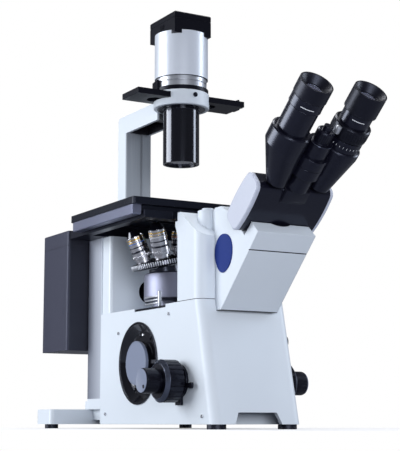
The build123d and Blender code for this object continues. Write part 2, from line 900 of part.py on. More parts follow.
cap_face = head_width / 2 - head_cap_thickness
with BuildPart() as head_block:
    extrude(head_outline(-cap_face), amount=2 * cap_face)
    with BuildSketch(head_plane.offset(-head_foot)):
        Circle(head_ring_radius)
    extrude(amount=head_ring_length)
    with BuildSketch(head_plane.offset(-head_foot)):
        Circle(head_bore_radius)
    extrude(amount=head_length - head_wall, mode=Mode.SUBTRACT)
    plate_y = pivot_drop - half_head - pivot_plate_thickness + pivot_plate_reach / 2
    with BuildSketch(pivot_plane.offset(head_foot - pivot_plate_length)):
        with Locations((0, plate_y)):
            Rectangle(pivot_plate_width, pivot_plate_reach)
        with Locations((0, pivot_drop)):
            Circle(head_bore_radius, mode=Mode.SUBTRACT)
    extrude(amount=pivot_plate_length - head_wall)
    with BuildSketch(pivot_plane.offset(head_foot - head_wall)):
        with Locations((0, plate_y)):
            Rectangle(pivot_plate_width, pivot_plate_reach)
    extrude(amount=head_wall)
head_block.part.label = "head_block"
export_step(head_block.part, "parts/head_block.step")

with BuildPart() as head_end_caps:
    for side in (-1, 1):
        extrude(head_outline(side * cap_face), amount=side * head_cap_thickness)
    bevel_edges = head_end_caps.faces().filter_by(Axis.X).group_by(Axis.X)
    chamfer(bevel_edges[0].edges() + bevel_edges[-1].edges(), cap_bevel)
head_end_caps.part.label = "head_end_caps"
export_step(head_end_caps.part, "parts/head_end_caps.step")

# Pivot column between the tubes, with its cap and clamp knob
with BuildPart() as pivot_column:
    with BuildSketch(pivot_plane.offset(head_foot)):
        Circle(pivot_radius)
    extrude(amount=pivot_top - head_foot)
    with BuildSketch(pivot_plane.offset(pivot_top)):
        Circle(pivot_cap_radius)
    extrude(amount=pivot_cap_height)
    chamfer(pivot_column.faces().sort_by(pivot_axis)[-1].edges(), cap_bevel)
    with BuildSketch(pivot_plane.offset(pivot_top + pivot_cap_height)):
        Circle(clamp_knob_radius)
    extrude(amount=clamp_knob_length)
pivot_column.part.label = "pivot_column"
export_step(pivot_column.part, "parts/pivot_column.step")


def tube_outline(radius, height):
    with BuildSketch(head_plane.offset(height)) as outline:
        with Locations((tube_x, 0)):
            Circle(radius)
    return outline.sketch


def pivot_outline(radius, height):
    with BuildSketch(pivot_plane.offset(height)) as outline:
        Circle(radius)
    return outline.sketch


def knuckle_outline(side, height):
    with BuildSketch(pivot_plane.offset(height)) as outline:
        Circle(knuckle_radius)
        with Locations((side * knuckle_radius, pivot_drop / 2)):
            Rectangle(knuckle_radius, knuckle_radius)
        Circle(pivot_radius + running_gap, mode=Mode.SUBTRACT)
    return outline.sketch


# Swinging tubes: a flared foot, a round tube and a knuckle round the pivot
tube_x = -eye_spacing / 2
with BuildPart() as left_tube:
    with BuildSketch(head_plane.offset(tube_foot)):
        with Locations((-tube_foot_offset, -pivot_drop)):
            Circle(tube_foot_radius)
    add(tube_outline(tube_radius, tube_shoulder))
    loft()
    extrude(tube_outline(tube_radius, tube_shoulder), amount=left_tube_top - tube_shoulder)
    chamfer(left_tube.faces().sort_by(pivot_axis)[-1].edges(), tube_edge)
    tube_core = tube_outline(sleeve_radius, left_tube_top - sleeve_depth)
    extrude(tube_core, amount=sleeve_depth + cut_over, mode=Mode.SUBTRACT)
    reach = left_tube_top - tube_foot + 2 * cut_over
    extrude(pivot_outline(pivot_radius + seat_gap, tube_foot - cut_over), amount=reach, mode=Mode.SUBTRACT)
    other = pivot_outline(knuckle_radius + seat_gap, right_knuckle - seat_gap)
    extrude(other, amount=knuckle_height + 2 * seat_gap, mode=Mode.SUBTRACT)
    extrude(knuckle_outline(-1, left_knuckle), amount=knuckle_height)
left_tube.part.label = "left_tube"
export_step(left_tube.part, "parts/left_tube.step")

with BuildPart() as left_eyepiece:
    extrude(tube_outline(eyepiece_radius, left_tube_top), amount=eyepiece_band - left_tube_top)
    extrude(tube_outline(eyepiece_band_radius, eyepiece_band), amount=left_cup_foot - eyepiece_band)
    core = tube_outline(sleeve_radius, left_tube_top - sleeve_depth / 2)
    extrude(core, amount=sleeve_depth / 2)
    bore = tube_outline(eye_bore_radius, left_tube_top - sleeve_depth)
    extrude(bore, amount=sleeve_depth + left_cup_foot, mode=Mode.SUBTRACT)
left_eyepiece.part.label = "left_eyepiece"
export_step(left_eyepiece.part, "parts/left_eyepiece.step")

with BuildPart() as left_eyecup:
    extrude(tube_outline(left_cup_radius, left_cup_foot), amount=eye_top - left_cup_foot)
    extrude(tube_outline(eye_bore_radius - cup_wall, left_cup_foot), amount=eye_top, mode=Mode.SUBTRACT)
    seat = tube_outline(eye_bore_radius, eye_top - cup_floor_depth - eye_lens_thickness)
    extrude(seat, amount=eye_top, mode=Mode.SUBTRACT)
    add(tube_outline(eye_bore_radius + cup_wall, eye_top - cup_floor_depth))
    add(tube_outline(left_cup_radius - cup_wall, eye_top))
    loft(mode=Mode.SUBTRACT)
left_eyecup.part.label = "left_eyecup"
export_step(left_eyecup.part, "parts/left_eyecup.step")

with BuildPart() as left_eye_lens:
    lens = tube_outline(eye_bore_radius, eye_top - cup_floor_depth - eye_lens_thickness)
    extrude(lens, amount=eye_lens_thickness)
left_eye_lens.part.label = "left_eye_lens"
export_step(left_eye_lens.part, "parts/left_eye_lens.step")

tube_x = eye_spacing / 2
with BuildPart() as right_tube:
    with BuildSketch(head_plane.offset(tube_foot)):
        with Locations((tube_foot_offset, -pivot_drop)):
            Circle(tube_foot_radius)
    add(tube_outline(tube_radius, tube_shoulder))
    loft()
    extrude(tube_outline(tube_radius, tube_shoulder), amount=right_tube_top - tube_shoulder)
    chamfer(right_tube.faces().sort_by(pivot_axis)[-1].edges(), tube_edge)
    tube_core = tube_outline(sleeve_radius, right_tube_top - sleeve_depth)
    extrude(tube_core, amount=sleeve_depth + cut_over, mode=Mode.SUBTRACT)
    reach = right_tube_top - tube_foot + 2 * cut_over
    extrude(pivot_outline(pivot_radius + seat_gap, tube_foot - cut_over), amount=reach, mode=Mode.SUBTRACT)
    other = pivot_outline(knuckle_radius + seat_gap, left_knuckle - seat_gap)
    extrude(other, amount=knuckle_height + 2 * seat_gap, mode=Mode.SUBTRACT)
    extrude(knuckle_outline(1, right_knuckle), amount=knuckle_height)
right_tube.part.label = "right_tube"
export_step(right_tube.part, "parts/right_tube.step")

with BuildPart() as right_eyepiece:
    extrude(tube_outline(scale_ring_radius, right_tube_top), amount=scale_ring_top - right_tube_top)
    extrude(tube_outline(right_neck_radius, scale_ring_top), amount=right_cup_foot - scale_ring_top)
    core = tube_outline(sleeve_radius, right_tube_top - sleeve_depth / 2)
    extrude(core, amount=sleeve_depth / 2)
    bore = tube_outline(eye_bore_radius, right_tube_top - sleeve_depth)
    extrude(bore, amount=sleeve_depth + right_cup_foot, mode=Mode.SUBTRACT)
right_eyepiece.part.label = "right_eyepiece"
export_step(right_eyepiece.part, "parts/right_eyepiece.step")

# Diopter ring, running on the neck of the right eyepiece
with BuildPart() as right_diopter_ring:
    ring = tube_outline(diopter_radius, scale_ring_top + seat_gap)
    extrude(ring, amount=diopter_top - scale_ring_top - seat_gap)
    chamfer(right_diopter_ring.edges().filter_by(GeomType.CIRCLE), cap_bevel)
    bore = tube_outline(right_neck_radius + running_gap, scale_ring_top)
    extrude(bore, amount=diopter_top, mode=Mode.SUBTRACT)
right_diopter_ring.part.label = "right_diopter_ring"
export_step(right_diopter_ring.part, "parts/right_diopter_ring.step")

with BuildPart() as right_eyecup:
    extrude(tube_outline(right_cup_radius, right_cup_foot), amount=eye_top - right_cup_foot)
    extrude(tube_outline(eye_bore_radius - cup_wall, right_cup_foot), amount=eye_top, mode=Mode.SUBTRACT)
    seat = tube_outline(eye_bore_radius, eye_top - cup_floor_depth - eye_lens_thickness)
    extrude(seat, amount=eye_top, mode=Mode.SUBTRACT)
    add(tube_outline(eye_bore_radius + cup_wall, eye_top - cup_floor_depth))
    add(tube_outline(right_cup_radius - cup_wall, eye_top))
    loft(mode=Mode.SUBTRACT)
right_eyecup.part.label = "right_eyecup"
export_step(right_eyecup.part, "parts/right_eyecup.step")

with BuildPart() as right_eye_lens:
    lens = tube_outline(eye_bore_radius, eye_top - cup_floor_depth - eye_lens_thickness)
    extrude(lens, amount=eye_lens_thickness)
right_eye_lens.part.label = "right_eye_lens"
export_step(right_eye_lens.part, "parts/right_eye_lens.step")

# Fixed guide let into the top of the base, with a sleeve for the focusing stem
guide_floor = base_top - guide_pocket_depth
with BuildPart() as focus_guide:
    with BuildSketch(Plane.XY.offset(guide_floor)):
        with Locations((0, front_y + (guide_flange_front + guide_flange_back) / 2)):
            Rectangle(body_width - cut_over, guide_flange_back - guide_flange_front - 2 * seat_gap)
        with Locations((0, focus_y)):
            Circle(guide_flange_radius)
    extrude(amount=guide_flange_thickness)
    with BuildSketch(Plane.XY.offset(guide_floor + guide_flange_thickness)):
        with Locations((0, focus_y)):
            Circle(guide_radius)
    extrude(amount=-guide_length)
    with BuildSketch(Plane.XY.offset(guide_floor - guide_length)):
        with Locations((0, focus_y)):
            Circle(stem_radius + running_gap)
        with Locations((0, axis_y)):
            Circle(light_bore_radius)
    extrude(amount=2 * guide_length, mode=Mode.SUBTRACT)
focus_guide.part.label = "focus_guide"
export_step(focus_guide.part, "parts/focus_guide.step")

# Focusing block: a bright drum over the base and a stem running in the guide
with BuildPart() as focus_block:
    with BuildSketch(Plane.XY.offset(focus_bottom)):
        with Locations((0, front_y + drum_setback)):
            Circle(focus_radius)
    extrude(amount=focus_top - focus_bottom)
    chamfer(focus_block.edges().filter_by(GeomType.CIRCLE), cap_bevel)
    with BuildSketch(Plane.XY.offset(stem_bottom)):
        with Locations((0, focus_y)):
            Circle(stem_radius)
    extrude(amount=focus_bottom - stem_bottom)
    with BuildSketch(Plane.XY.offset(stem_bottom)):
        with Locations((0, axis_y)):
            Circle(light_bore_radius)
    extrude(amount=focus_top, mode=Mode.SUBTRACT)
focus_block.part.label = "focus_block"
export_step(focus_block.part, "parts/focus_block.step")

# Focusing arm under the stem, with the upright rack the pinion drives
rack_y = knob_y + pinion_pitch_radius
with BuildPart() as focus_arm:
    with BuildSketch(Plane.XY.offset(stem_bottom - yoke_height)):
        with Locations((-yoke_offset, (rack_y + focus_y) / 2), (yoke_offset, (rack_y + focus_y) / 2)):
            Rectangle(yoke_width, focus_y - rack_y)
        with Locations((0, rack_y + tooth_module + rack_thickness / 2)):
            Rectangle(2 * yoke_offset + yoke_width, rack_thickness)
        with Locations((0, focus_y)):
            Circle(stem_radius)
        with Locations((0, axis_y)):
            Circle(light_bore_radius, mode=Mode.SUBTRACT)
    extrude(amount=yoke_height)
    with BuildSketch(Plane.XY.offset(rack_bottom)):
        with Locations((0, rack_y + tooth_module + rack_thickness / 2)):
            Rectangle(pinion_length, rack_thickness)
    extrude(amount=stem_bottom - rack_bottom)
    rack_count = 2 * int((stem_bottom - yoke_height - knob_height) / tooth_pitch)
    with BuildSketch(Plane.YZ):
        for k in range(rack_count):
            tooth_z = knob_height + (k - rack_count // 2 + 1 / 2) * tooth_pitch
            if tooth_z > rack_bottom + tooth_pitch / 2:
                with Locations((rack_y + tooth_module / 4, tooth_z)):
                    Trapezoid(tooth_foot_width, 3 / 2 * tooth_module, rack_flank, rotation=90)
    extrude(amount=pinion_length / 2, both=True)
focus_arm.part.label = "focus_arm"
export_step(focus_arm.part, "parts/focus_arm.step")

# Fine shaft right through the machine with a drum at each end, inside the coarse shaft
fine_inner = coarse_inner + coarse_length + seat_gap
with BuildPart() as fine_knobs:
    with BuildSketch(Plane.YZ):
        with Locations((knob_y, knob_height)):
            Circle(fine_shaft_radius)
    extrude(amount=fine_inner, both=True)
    for side in (-1, 1):
        with BuildSketch(Plane.YZ.offset(side * fine_inner)):
            with Locations((knob_y, knob_height)):
                Circle(fine_radius)
        extrude(amount=side * (fine_tip - fine_inner))
    tips = fine_knobs.faces().filter_by(Axis.X).group_by(Axis.X)
    chamfer(tips[0].edges() + tips[-1].edges(), cap_bevel)
    for side in (-1, 1):
        with BuildSketch(Plane.YZ.offset(side * fine_tip)):
            with Locations((knob_y, knob_height)):
                with PolarLocations(fine_radius * finger_hole_share, 1, finger_hole_angle):
                    Circle(fine_shaft_radius / 2)
        extrude(amount=-side * cap_bevel, mode=Mode.SUBTRACT)
fine_knobs.part.label = "fine_knobs"
export_step(fine_knobs.part, "parts/fine_knobs.step")


def pinion_outline(radius):
    with BuildSketch(Plane.YZ.offset(-pinion_length / 2)) as outline:
        with Locations((knob_y, knob_height)):
            Circle(radius)
            with PolarLocations(pinion_pitch_radius - tooth_module / 4, pinion_teeth):
                Trapezoid(tooth_foot_width, 2 * tooth_module, rack_flank, rotation=-90)
            Circle(fine_shaft_radius + running_gap, mode=Mode.SUBTRACT)
    return outline.sketch


# Coarse shaft: a tube in the side walls with the pinion at its middle
with BuildPart() as coarse_shaft:
    with BuildSketch(Plane.YZ):
        with Locations((knob_y, knob_height)):
            Circle(coarse_shaft_radius)
            Circle(fine_shaft_radius + running_gap, mode=Mode.SUBTRACT)
    extrude(amount=coarse_inner + coarse_length / 2, both=True)
    extrude(pinion_outline(coarse_shaft_radius), amount=pinion_length)
coarse_shaft.part.label = "coarse_shaft"
export_step(coarse_shaft.part, "parts/coarse_shaft.step")

# Ribbed coarse knobs, bevelled at their outer ends
with BuildPart() as coarse_knobs:
    for side in (-1, 1):
        with BuildSketch(Plane.YZ.offset(side * coarse_inner)):
            with Locations((knob_y, knob_height)):
                Circle(coarse_radius)
        extrude(amount=side * coarse_length)
    outer_faces = coarse_knobs.faces().filter_by(Axis.X).group_by(Axis.X)
    chamfer(outer_faces[0].edges() + outer_faces[-1].edges(), coarse_chamfer)
    for side in (-1, 1):
        with BuildSketch(Plane.YZ.offset(side * (coarse_inner - cut_over))):
            with Locations((knob_y, knob_height)):
                with PolarLocations(coarse_radius, ribs):
                    Circle(rib_depth)
        rib_run = coarse_length - coarse_chamfer + cut_over
        extrude(amount=side * rib_run, mode=Mode.SUBTRACT)
        with BuildSketch(Plane.YZ.offset(side * (coarse_inner - cut_over))):
            with Locations((knob_y, knob_height)):
                Circle(coarse_shaft_radius)
        extrude(amount=side * (cut_over + coarse_length / 2), mode=Mode.SUBTRACT)
        with BuildSketch(Plane.YZ.offset(side * coarse_inner)):
            with Locations((knob_y, knob_height)):
                Circle(fine_shaft_radius + running_gap)
        extrude(amount=side * (coarse_length + cut_over), mode=Mode.SUBTRACT)
coarse_knobs.part.label = "coarse_knobs"
export_step(coarse_knobs.part, "parts/coarse_knobs.step")

# Tension ring and focus lock on the left boss of the base
ring_bore = bush_radius + running_gap
with BuildPart() as tension_ring:
    with BuildSketch(Plane.YZ.offset(-half_body - seat_gap)):
        with Locations((knob_y, knob_height)):
            Circle(tension_radius)
        with Locations((knob_y, knob_height - tension_tab_reach / 2)):
            Rectangle(tension_tab_width, tension_tab_reach)
        with Locations((knob_y, knob_height)):
            Circle(ring_bore, mode=Mode.SUBTRACT)
    extrude(amount=-tension_length)
tension_ring.part.label = "tension_ring"
export_step(tension_ring.part, "parts/tension_ring.step")

with BuildPart() as lock_lever:
    with BuildSketch(Plane.YZ.offset(-half_body - tension_length - 2 * seat_gap)):
        with Locations((knob_y, knob_height)):
            Circle(bush_radius + lever_width / 2)
        with Locations((knob_y - lever_length / 2, knob_height - lever_width)):
            Rectangle(lever_length, lever_width)
        with Locations((knob_y - lever_length, knob_height - lever_width)):
            Circle(lever_tab / 2)
        with Locations((knob_y, knob_height)):
            Circle(ring_bore, mode=Mode.SUBTRACT)
    extrude(amount=-lever_thickness)
lock_lever.part.label = "lock_lever"
export_step(lock_lever.part, "parts/lock_lever.step")

# Black nosepiece base on the drum, cut square to the tilted nosepiece above
half_turret = turret_thickness / 2
with BuildPart() as nosepiece_base:
    with BuildSketch(turret_plane.offset(-half_turret - turret_gap)):
        Circle(nose_base_radius)
    extrude(amount=-(turret_height - focus_top))
    with BuildSketch(Plane.XY.offset(focus_top)):
        with Locations((turret_x, axis_y)):
            Rectangle(4 * nose_base_radius, 4 * nose_base_radius)
    extrude(amount=-(turret_height - focus_top), mode=Mode.SUBTRACT)
    with BuildSketch(Plane.XY.offset(focus_top)):
        with Locations((0, axis_y)):
            Circle(light_bore_radius)
    extrude(amount=turret_height - focus_top, mode=Mode.SUBTRACT)
    with BuildSketch(turret_plane.offset(-half_turret - turret_gap)):
        Circle(turret_bore_radius - running_gap)
    extrude(amount=turret_thickness + turret_gap + seat_gap)
    with BuildSketch(turret_plane.offset(half_turret + seat_gap)):
        Circle(turret_cap_radius)
    extrude(amount=turret_cap_height)
nosepiece_base.part.label = "nosepiece_base"
export_step(nosepiece_base.part, "parts/nosepiece_base.step")

# Revolving nosepiece: every objective leans by the tilt, so the working one stands upright
seat_planes = []
for k in range(seat_count):
    phi = 2 * pi * k / seat_count
    out_x = sin(phi)
    out_y = -cos(phi)
    seat_at = turret_plane.from_local_coords((seat_circle * out_x, seat_circle * out_y, half_turret))
    ahead = turret_plane.from_local_coords(
        (
            (seat_circle + sin(tilt)) * out_x,
            (seat_circle + sin(tilt)) * out_y,
            half_turret + cos(tilt),
        )
    )
    seat_planes.append(Plane(seat_at, z_dir=ahead - seat_at))

with BuildPart() as turret:
    with BuildSketch(turret_plane.offset(-half_turret)):
        Circle(turret_radius)
    extrude(amount=turret_thickness)
    chamfer(turret.edges().filter_by(GeomType.CIRCLE), turret_edge)
    with BuildSketch(turret_plane.offset(-half_turret)):
        with PolarLocations(turret_radius, turret_grips):
            Circle(turret_grip_depth)
        Circle(turret_bore_radius)
    extrude(amount=turret_thickness, mode=Mode.SUBTRACT)
    for k in range(seat_count):
        with BuildSketch(seat_planes[k].offset(-half_turret)):
            Circle(seat_radius)
        extrude(amount=half_turret + seat_height)
    with BuildSketch(turret_plane.offset(-half_turret)):
        with PolarLocations(seat_circle, seat_count):
            Circle(seat_radius + seat_height)
    extrude(amount=-turret_thickness, mode=Mode.SUBTRACT)
    for k in range(seat_count):
        with BuildSketch(seat_planes[k].offset(-turret_thickness - cut_over)):
            Circle(objective_bore_radius)
        extrude(amount=2 * turret_thickness + cut_over, mode=Mode.SUBTRACT)
turret.part.label = "turret"
export_step(turret.part, "parts/turret.step")

with BuildPart() as objective_barrels:
    for k in range(seat_count):
        barrel = objective_radius * objective_radius_shares[k]
        length = objective_length * objective_length_shares[k]
        with BuildSketch(seat_planes[k].offset(seat_height)):
            Circle(objective_neck_radius)
        extrude(amount=length * objective_neck_share)
        with BuildSketch(seat_planes[k].offset(seat_height + length * objective_neck_share)):
            Circle(barrel)
        extrude(amount=length * (objective_tip_share - objective_neck_share))
        with BuildSketch(seat_planes[k].offset(seat_height)):
            Circle(objective_bore_radius)
        extrude(amount=length, mode=Mode.SUBTRACT)
        with BuildSketch(seat_planes[k].offset(seat_height + length * objective_band_share)):
            Circle(barrel + cut_over)
            Circle(barrel - objective_wall / 2, mode=Mode.SUBTRACT)
        extrude(amount=objective_band_width, mode=Mode.SUBTRACT)
objective_barrels.part.label = "objective_barrels"
export_step(objective_barrels.part, "parts/objective_barrels.step")

with BuildPart() as objective_bands:
    for k in range(seat_count):
        barrel = objective_radius * objective_radius_shares[k]
        length = objective_length * objective_length_shares[k]
        with BuildSketch(seat_planes[k].offset(seat_height + length * objective_band_share)):
            Circle(barrel)
            Circle(barrel - objective_wall / 2, mode=Mode.SUBTRACT)
        extrude(amount=objective_band_width)
objective_bands.part.label = "objective_bands"
export_step(objective_bands.part, "parts/objective_bands.step")

with BuildPart() as objective_tips:
    for k in range(seat_count):
        barrel = objective_radius * objective_radius_shares[k]
        length = objective_length * objective_length_shares[k]
        with BuildSketch(seat_planes[k].offset(seat_height + length * objective_tip_share)):
            Circle(barrel - objective_wall / 2)
        with BuildSketch(seat_planes[k].offset(seat_height + length)):
            Circle(barrel * objective_nose_share)
        loft()
objective_tips.part.label = "objective_tips"
export_step(objective_tips.part, "parts/objective_tips.step")

# Stage plate with a step below, open over the nosepiece, and a ledge for its insert
stage_y = front_y + stage_setback + stage_depth / 2
bay_y = front_y + (bay_front + bay_back) / 2
bay_depth = bay_back - bay_front
with BuildPart() as stage_plate:
    with BuildSketch(Plane.XY.offset(stage_top - stage_thickness)):
        with Locations((0, stage_y)):
            RectangleRounded(stage_width, stage_depth, stage_corner)
    extrude(amount=stage_thickness)
    with BuildSketch(Plane.XY.offset(stage_bottom)):
        with Locations((0, stage_y)):
            Rectangle(stage_width - 2 * stage_step_inset, stage_depth - stage_step_inset)
        with Locations((0, bay_y)):
            Rectangle(bay_width, bay_depth, mode=Mode.SUBTRACT)
    extrude(amount=stage_step)
    with BuildSketch(Plane.XY.offset(stage_top - insert_thickness)):
        with Locations((0, axis_y)):
            Circle(stage_hole_radius)
    extrude(amount=insert_thickness, mode=Mode.SUBTRACT)
    with BuildSketch(Plane.XY.offset(stage_bottom)):
        with Locations((0, axis_y)):
            Circle(stage_hole_radius - insert_ledge)
    extrude(amount=stage_top - stage_bottom, mode=Mode.SUBTRACT)
    with BuildSketch(Plane.XY.offset(stage_top - stage_tap_depth)):
        with Locations((0, axis_y)):
            with GridLocations(stage_hole_pitch_x, stage_hole_pitch_y, 2, 2):
                Circle(stage_tap_radius)
    extrude(amount=stage_tap_depth, mode=Mode.SUBTRACT)
stage_plate.part.label = "stage_plate"
export_step(stage_plate.part, "parts/stage_plate.step")

with BuildPart() as stage_insert:
    with BuildSketch(Plane.XY.offset(stage_top - insert_thickness)):
        with Locations((0, axis_y)):
            Circle(stage_hole_radius - running_gap)
            Circle(insert_hole_radius, mode=Mode.SUBTRACT)
    extrude(amount=insert_thickness)
stage_insert.part.label = "stage_insert"
export_step(stage_insert.part, "parts/stage_insert.step")

with BuildPart() as stage_rails:
    rail_x = stage_width / 2 - rail_inset - rail_width / 2
    with BuildSketch(Plane.XY.offset(stage_top - stage_thickness - rail_height)):
        rail_y = front_y + rail_setback + rail_depth / 2
        with Locations((-rail_x, rail_y), (rail_x, rail_y)):
            Rectangle(rail_width, rail_depth)
    extrude(amount=rail_height)
    chamfer(stage_rails.faces().sort_by(Axis.Z)[0].edges(), seam_bevel)
stage_rails.part.label = "stage_rails"
export_step(stage_rails.part, "parts/stage_rails.step")

# Stage frame, from the ledge of the front column back to the rear column
with BuildPart() as stage_frame:
    frame_y = front_y + frame_setback + frame_depth / 2
    with BuildSketch(Plane.XY.offset(frame_bottom)):
        with Locations((0, frame_y)):
            Rectangle(frame_width, frame_depth)
        tongue_y = front_y + tongue_reach + tongue_length
        with Locations((0, tongue_y)):
            Rectangle(tongue_width, 2 * tongue_length)
        with Locations((0, bay_y)):
            Rectangle(bay_width, bay_depth, mode=Mode.SUBTRACT)
        with Locations((0, front_y + frame_setback + frame_depth)):
            notch = 2 * (frame_setback + frame_depth - pillar_setback + seat_gap)
            Rectangle(pillar_width + 2 * seat_gap, notch, mode=Mode.SUBTRACT)
    extrude(amount=frame_thickness)
    ledge_y = front_column_y + front_column_depth
    with BuildSketch(Plane.XY.offset(ledge_height)):
        with Locations((0, front_y + tongue_reach + tongue_length / 2)):
            Rectangle(tongue_width, tongue_length)
    extrude(amount=frame_bottom - ledge_height)
stage_frame.part.label = "stage_frame"
export_step(stage_frame.part, "parts/stage_frame.step")

# Illumination pillar with a groove down its front, and the arm on top of it
pillar_y = front_y + pillar_setback + pillar_depth / 2
with BuildPart() as pillar:
    with BuildSketch(Plane.XY.offset(column_top)):
        with Locations((0, pillar_y)):
            Rectangle(pillar_width, pillar_depth)
            Rectangle(pillar_width - 3 * pillar_wall, pillar_depth - 3 * pillar_wall, mode=Mode.SUBTRACT)
        with Locations((0, pillar_y - pillar_depth / 2)):
            Rectangle(groove_width, pillar_wall, mode=Mode.SUBTRACT)
    extrude(amount=arm_bottom - column_top)
pillar.part.label = "pillar"
export_step(pillar.part, "parts/pillar.step")

arm_back = pillar_y + pillar_depth / 2
with BuildPart() as arm:
    with BuildSketch(Plane.XY.offset(arm_bottom)):
        with Locations((0, (axis_y + arm_back) / 2)):
            Rectangle(pillar_width, arm_back - axis_y)
    extrude(amount=arm_top - arm_bottom)
    chamfer(arm.edges().filter_by(Axis.X).group_by(Axis.Y)[-1].group_by(Axis.Z)[-1], arm_chamfer)
    recess_front = axis_y + collar_radius + arm_root_web
    recess_back = pillar_y - pillar_depth / 2
    with BuildSketch(Plane.XY.offset(arm_bottom)):
        with Locations((0, (recess_front + recess_back) / 2)):
            Rectangle(pillar_width - 2 * arm_top_wall, recess_back - recess_front)
    extrude(amount=arm_top - arm_bottom - arm_top_wall, mode=Mode.SUBTRACT)
    with BuildSketch(Plane.XY.offset(arm_bottom)):
        with Locations((0, axis_y)):
            Circle(collar_radius)
    extrude(amount=arm_top - arm_bottom, mode=Mode.SUBTRACT)
arm.part.label = "arm"
export_step(arm.part, "parts/arm.step")

# Collar at the end of the arm, slotted for the slider
with BuildPart() as collar:
    with BuildSketch(Plane.XY.offset(collar_bottom)):
        with Locations((0, axis_y)):
            Circle(collar_radius)
    extrude(amount=collar_top - collar_bottom)
    chamfer(collar.edges().filter_by(GeomType.CIRCLE), seam_bevel)
    with BuildSketch(Plane.XY.offset(collar_bottom + collar_throat_height)):
        with Locations((0, axis_y)):
            Circle(collar_bore_radius)
    extrude(amount=collar_top - collar_bottom, mode=Mode.SUBTRACT)
    with BuildSketch(Plane.XY.offset(collar_bottom)):
        with Locations((0, axis_y)):
            Circle(collar_throat_radius)
    extrude(amount=collar_top - collar_bottom, mode=Mode.SUBTRACT)
    with BuildSketch(Plane.XY.offset(slider_bottom - slider_fit)):
        with Locations((0, axis_y)):
            Rectangle(4 * collar_radius, slider_width + 2 * slider_fit)
    extrude(amount=slider_thickness + 2 * slider_fit, mode=Mode.SUBTRACT)
    screw_z = (arm_top + slider_bottom) / 2
    with BuildSketch(Plane.XZ.offset(-axis_y + collar_bore_radius)):
        with Locations((0, screw_z)):
            Circle(collar_screw_radius)
    extrude(amount=collar_radius - collar_bore_radius + screw_head_height)
collar.part.label = "collar"
export_step(collar.part, "parts/collar.step")

with BuildPart() as condenser_barrel:
    with BuildSketch(Plane.XY.offset(condenser_bottom)):
        with Locations((0, axis_y)):
            Circle(condenser_radius)
    extrude(amount=collar_bottom - condenser_bottom)
    with BuildSketch(Plane.XY.offset(condenser_bottom)):
        with Locations((0, axis_y)):
            Circle(condenser_radius - condenser_wall)
    extrude(amount=condenser_recess, mode=Mode.SUBTRACT)
    with BuildSketch(Plane.XY.offset(condenser_bottom)):
        with Locations((0, axis_y)):
            Circle(condenser_lens_radius)
    extrude(amount=condenser_recess + condenser_lens_thickness, mode=Mode.SUBTRACT)
    with BuildSketch(Plane.XY.offset(condenser_bottom)):
        with Locations((0, axis_y)):
            Circle(condenser_lens_radius - condenser_wall)
    extrude(amount=collar_bottom, mode=Mode.SUBTRACT)
condenser_barrel.part.label = "condenser_barrel"
export_step(condenser_barrel.part, "parts/condenser_barrel.step")

# Slider through the collar, with a stop and a knob at its right end
with BuildPart() as phase_slider:
    slider_x = slider_length / 2 - slider_left
    with BuildSketch(Plane.XY.offset(slider_bottom)):
        with Locations((slider_x, axis_y)):
            Rectangle(slider_length, slider_width)
        with Locations((0, axis_y)):
            with GridLocations(slider_hole_pitch, 0, 3, 1):
                Circle(slider_hole_radius, mode=Mode.SUBTRACT)
    extrude(amount=slider_thickness)
    slider_end = slider_length - slider_left
    with BuildSketch(Plane.YZ.offset(slider_end)):
        with Locations((axis_y, slider_bottom + slider_knob_rise)):
            Rectangle(3 * slider_knob_radius, 2 * slider_knob_radius)
        with Locations((axis_y, slider_bottom + slider_thickness / 2)):
            Rectangle(3 * slider_knob_radius, slider_thickness)
    extrude(amount=slider_end_thickness)
    with BuildSketch(Plane.YZ.offset(slider_end + slider_end_thickness)):
        with Locations((axis_y, slider_bottom + slider_knob_rise)):
            Circle(slider_knob_radius)
    extrude(amount=slider_knob_length)
phase_slider.part.label = "phase_slider"
export_step(phase_slider.part, "parts/phase_slider.step")

# Aperture ring, turning round the spigot of the lamp base
with BuildPart() as aperture_ring:
    with BuildSketch(Plane.XY.offset(collar_top + seat_gap)):
        with Locations((0, axis_y)):
            Circle(diaphragm_radius)
            Circle(spigot_radius + running_gap, mode=Mode.SUBTRACT)
    extrude(amount=diaphragm_top - collar_top - 2 * seat_gap)
    tab_at = lamp_base_radius + seat_gap + lever_tab_thickness / 2
    with BuildSketch(Plane.XY.offset(collar_top + seat_gap)):
        with Locations((0, axis_y)):
            with PolarLocations(tab_at, 1, lever_tab_angle):
                Rectangle(lever_tab_thickness - seat_gap, lever_tab_width)
    extrude(amount=lever_tab_height)
aperture_ring.part.label = "aperture_ring"
export_step(aperture_ring.part, "parts/aperture_ring.step")

# Lamp house: base with a spigot, round housing with a top plate, and a square cap
with BuildPart() as lamp_base:
    with BuildSketch(Plane.XY.offset(diaphragm_top)):
        with Locations((0, axis_y)):
            Circle(lamp_base_radius)
    extrude(amount=lamp_base_top - diaphragm_top)
    with BuildSketch(Plane.XY.offset(collar_top)):
        with Locations((0, axis_y)):
            Circle(spigot_radius)
    extrude(amount=diaphragm_top - collar_top)
    with BuildSketch(Plane.XY.offset(collar_top)):
        with Locations((0, axis_y)):
            Circle(lamp_bore_radius)
    extrude(amount=lamp_base_top - collar_top, mode=Mode.SUBTRACT)
    with BuildSketch(Plane.XY.offset(lamp_base_top - collector_thickness / 2)):
        with Locations((0, axis_y)):
            Circle(collector_radius)
    extrude(amount=collector_thickness, mode=Mode.SUBTRACT)
    with BuildSketch(Plane.XY.offset((diaphragm_top + lamp_base_top) / 2)):
        with Locations((0, axis_y)):
            Circle(lamp_base_radius + cut_over)
            Circle(lamp_base_radius - lamp_groove, mode=Mode.SUBTRACT)
    extrude(amount=lamp_groove, mode=Mode.SUBTRACT)
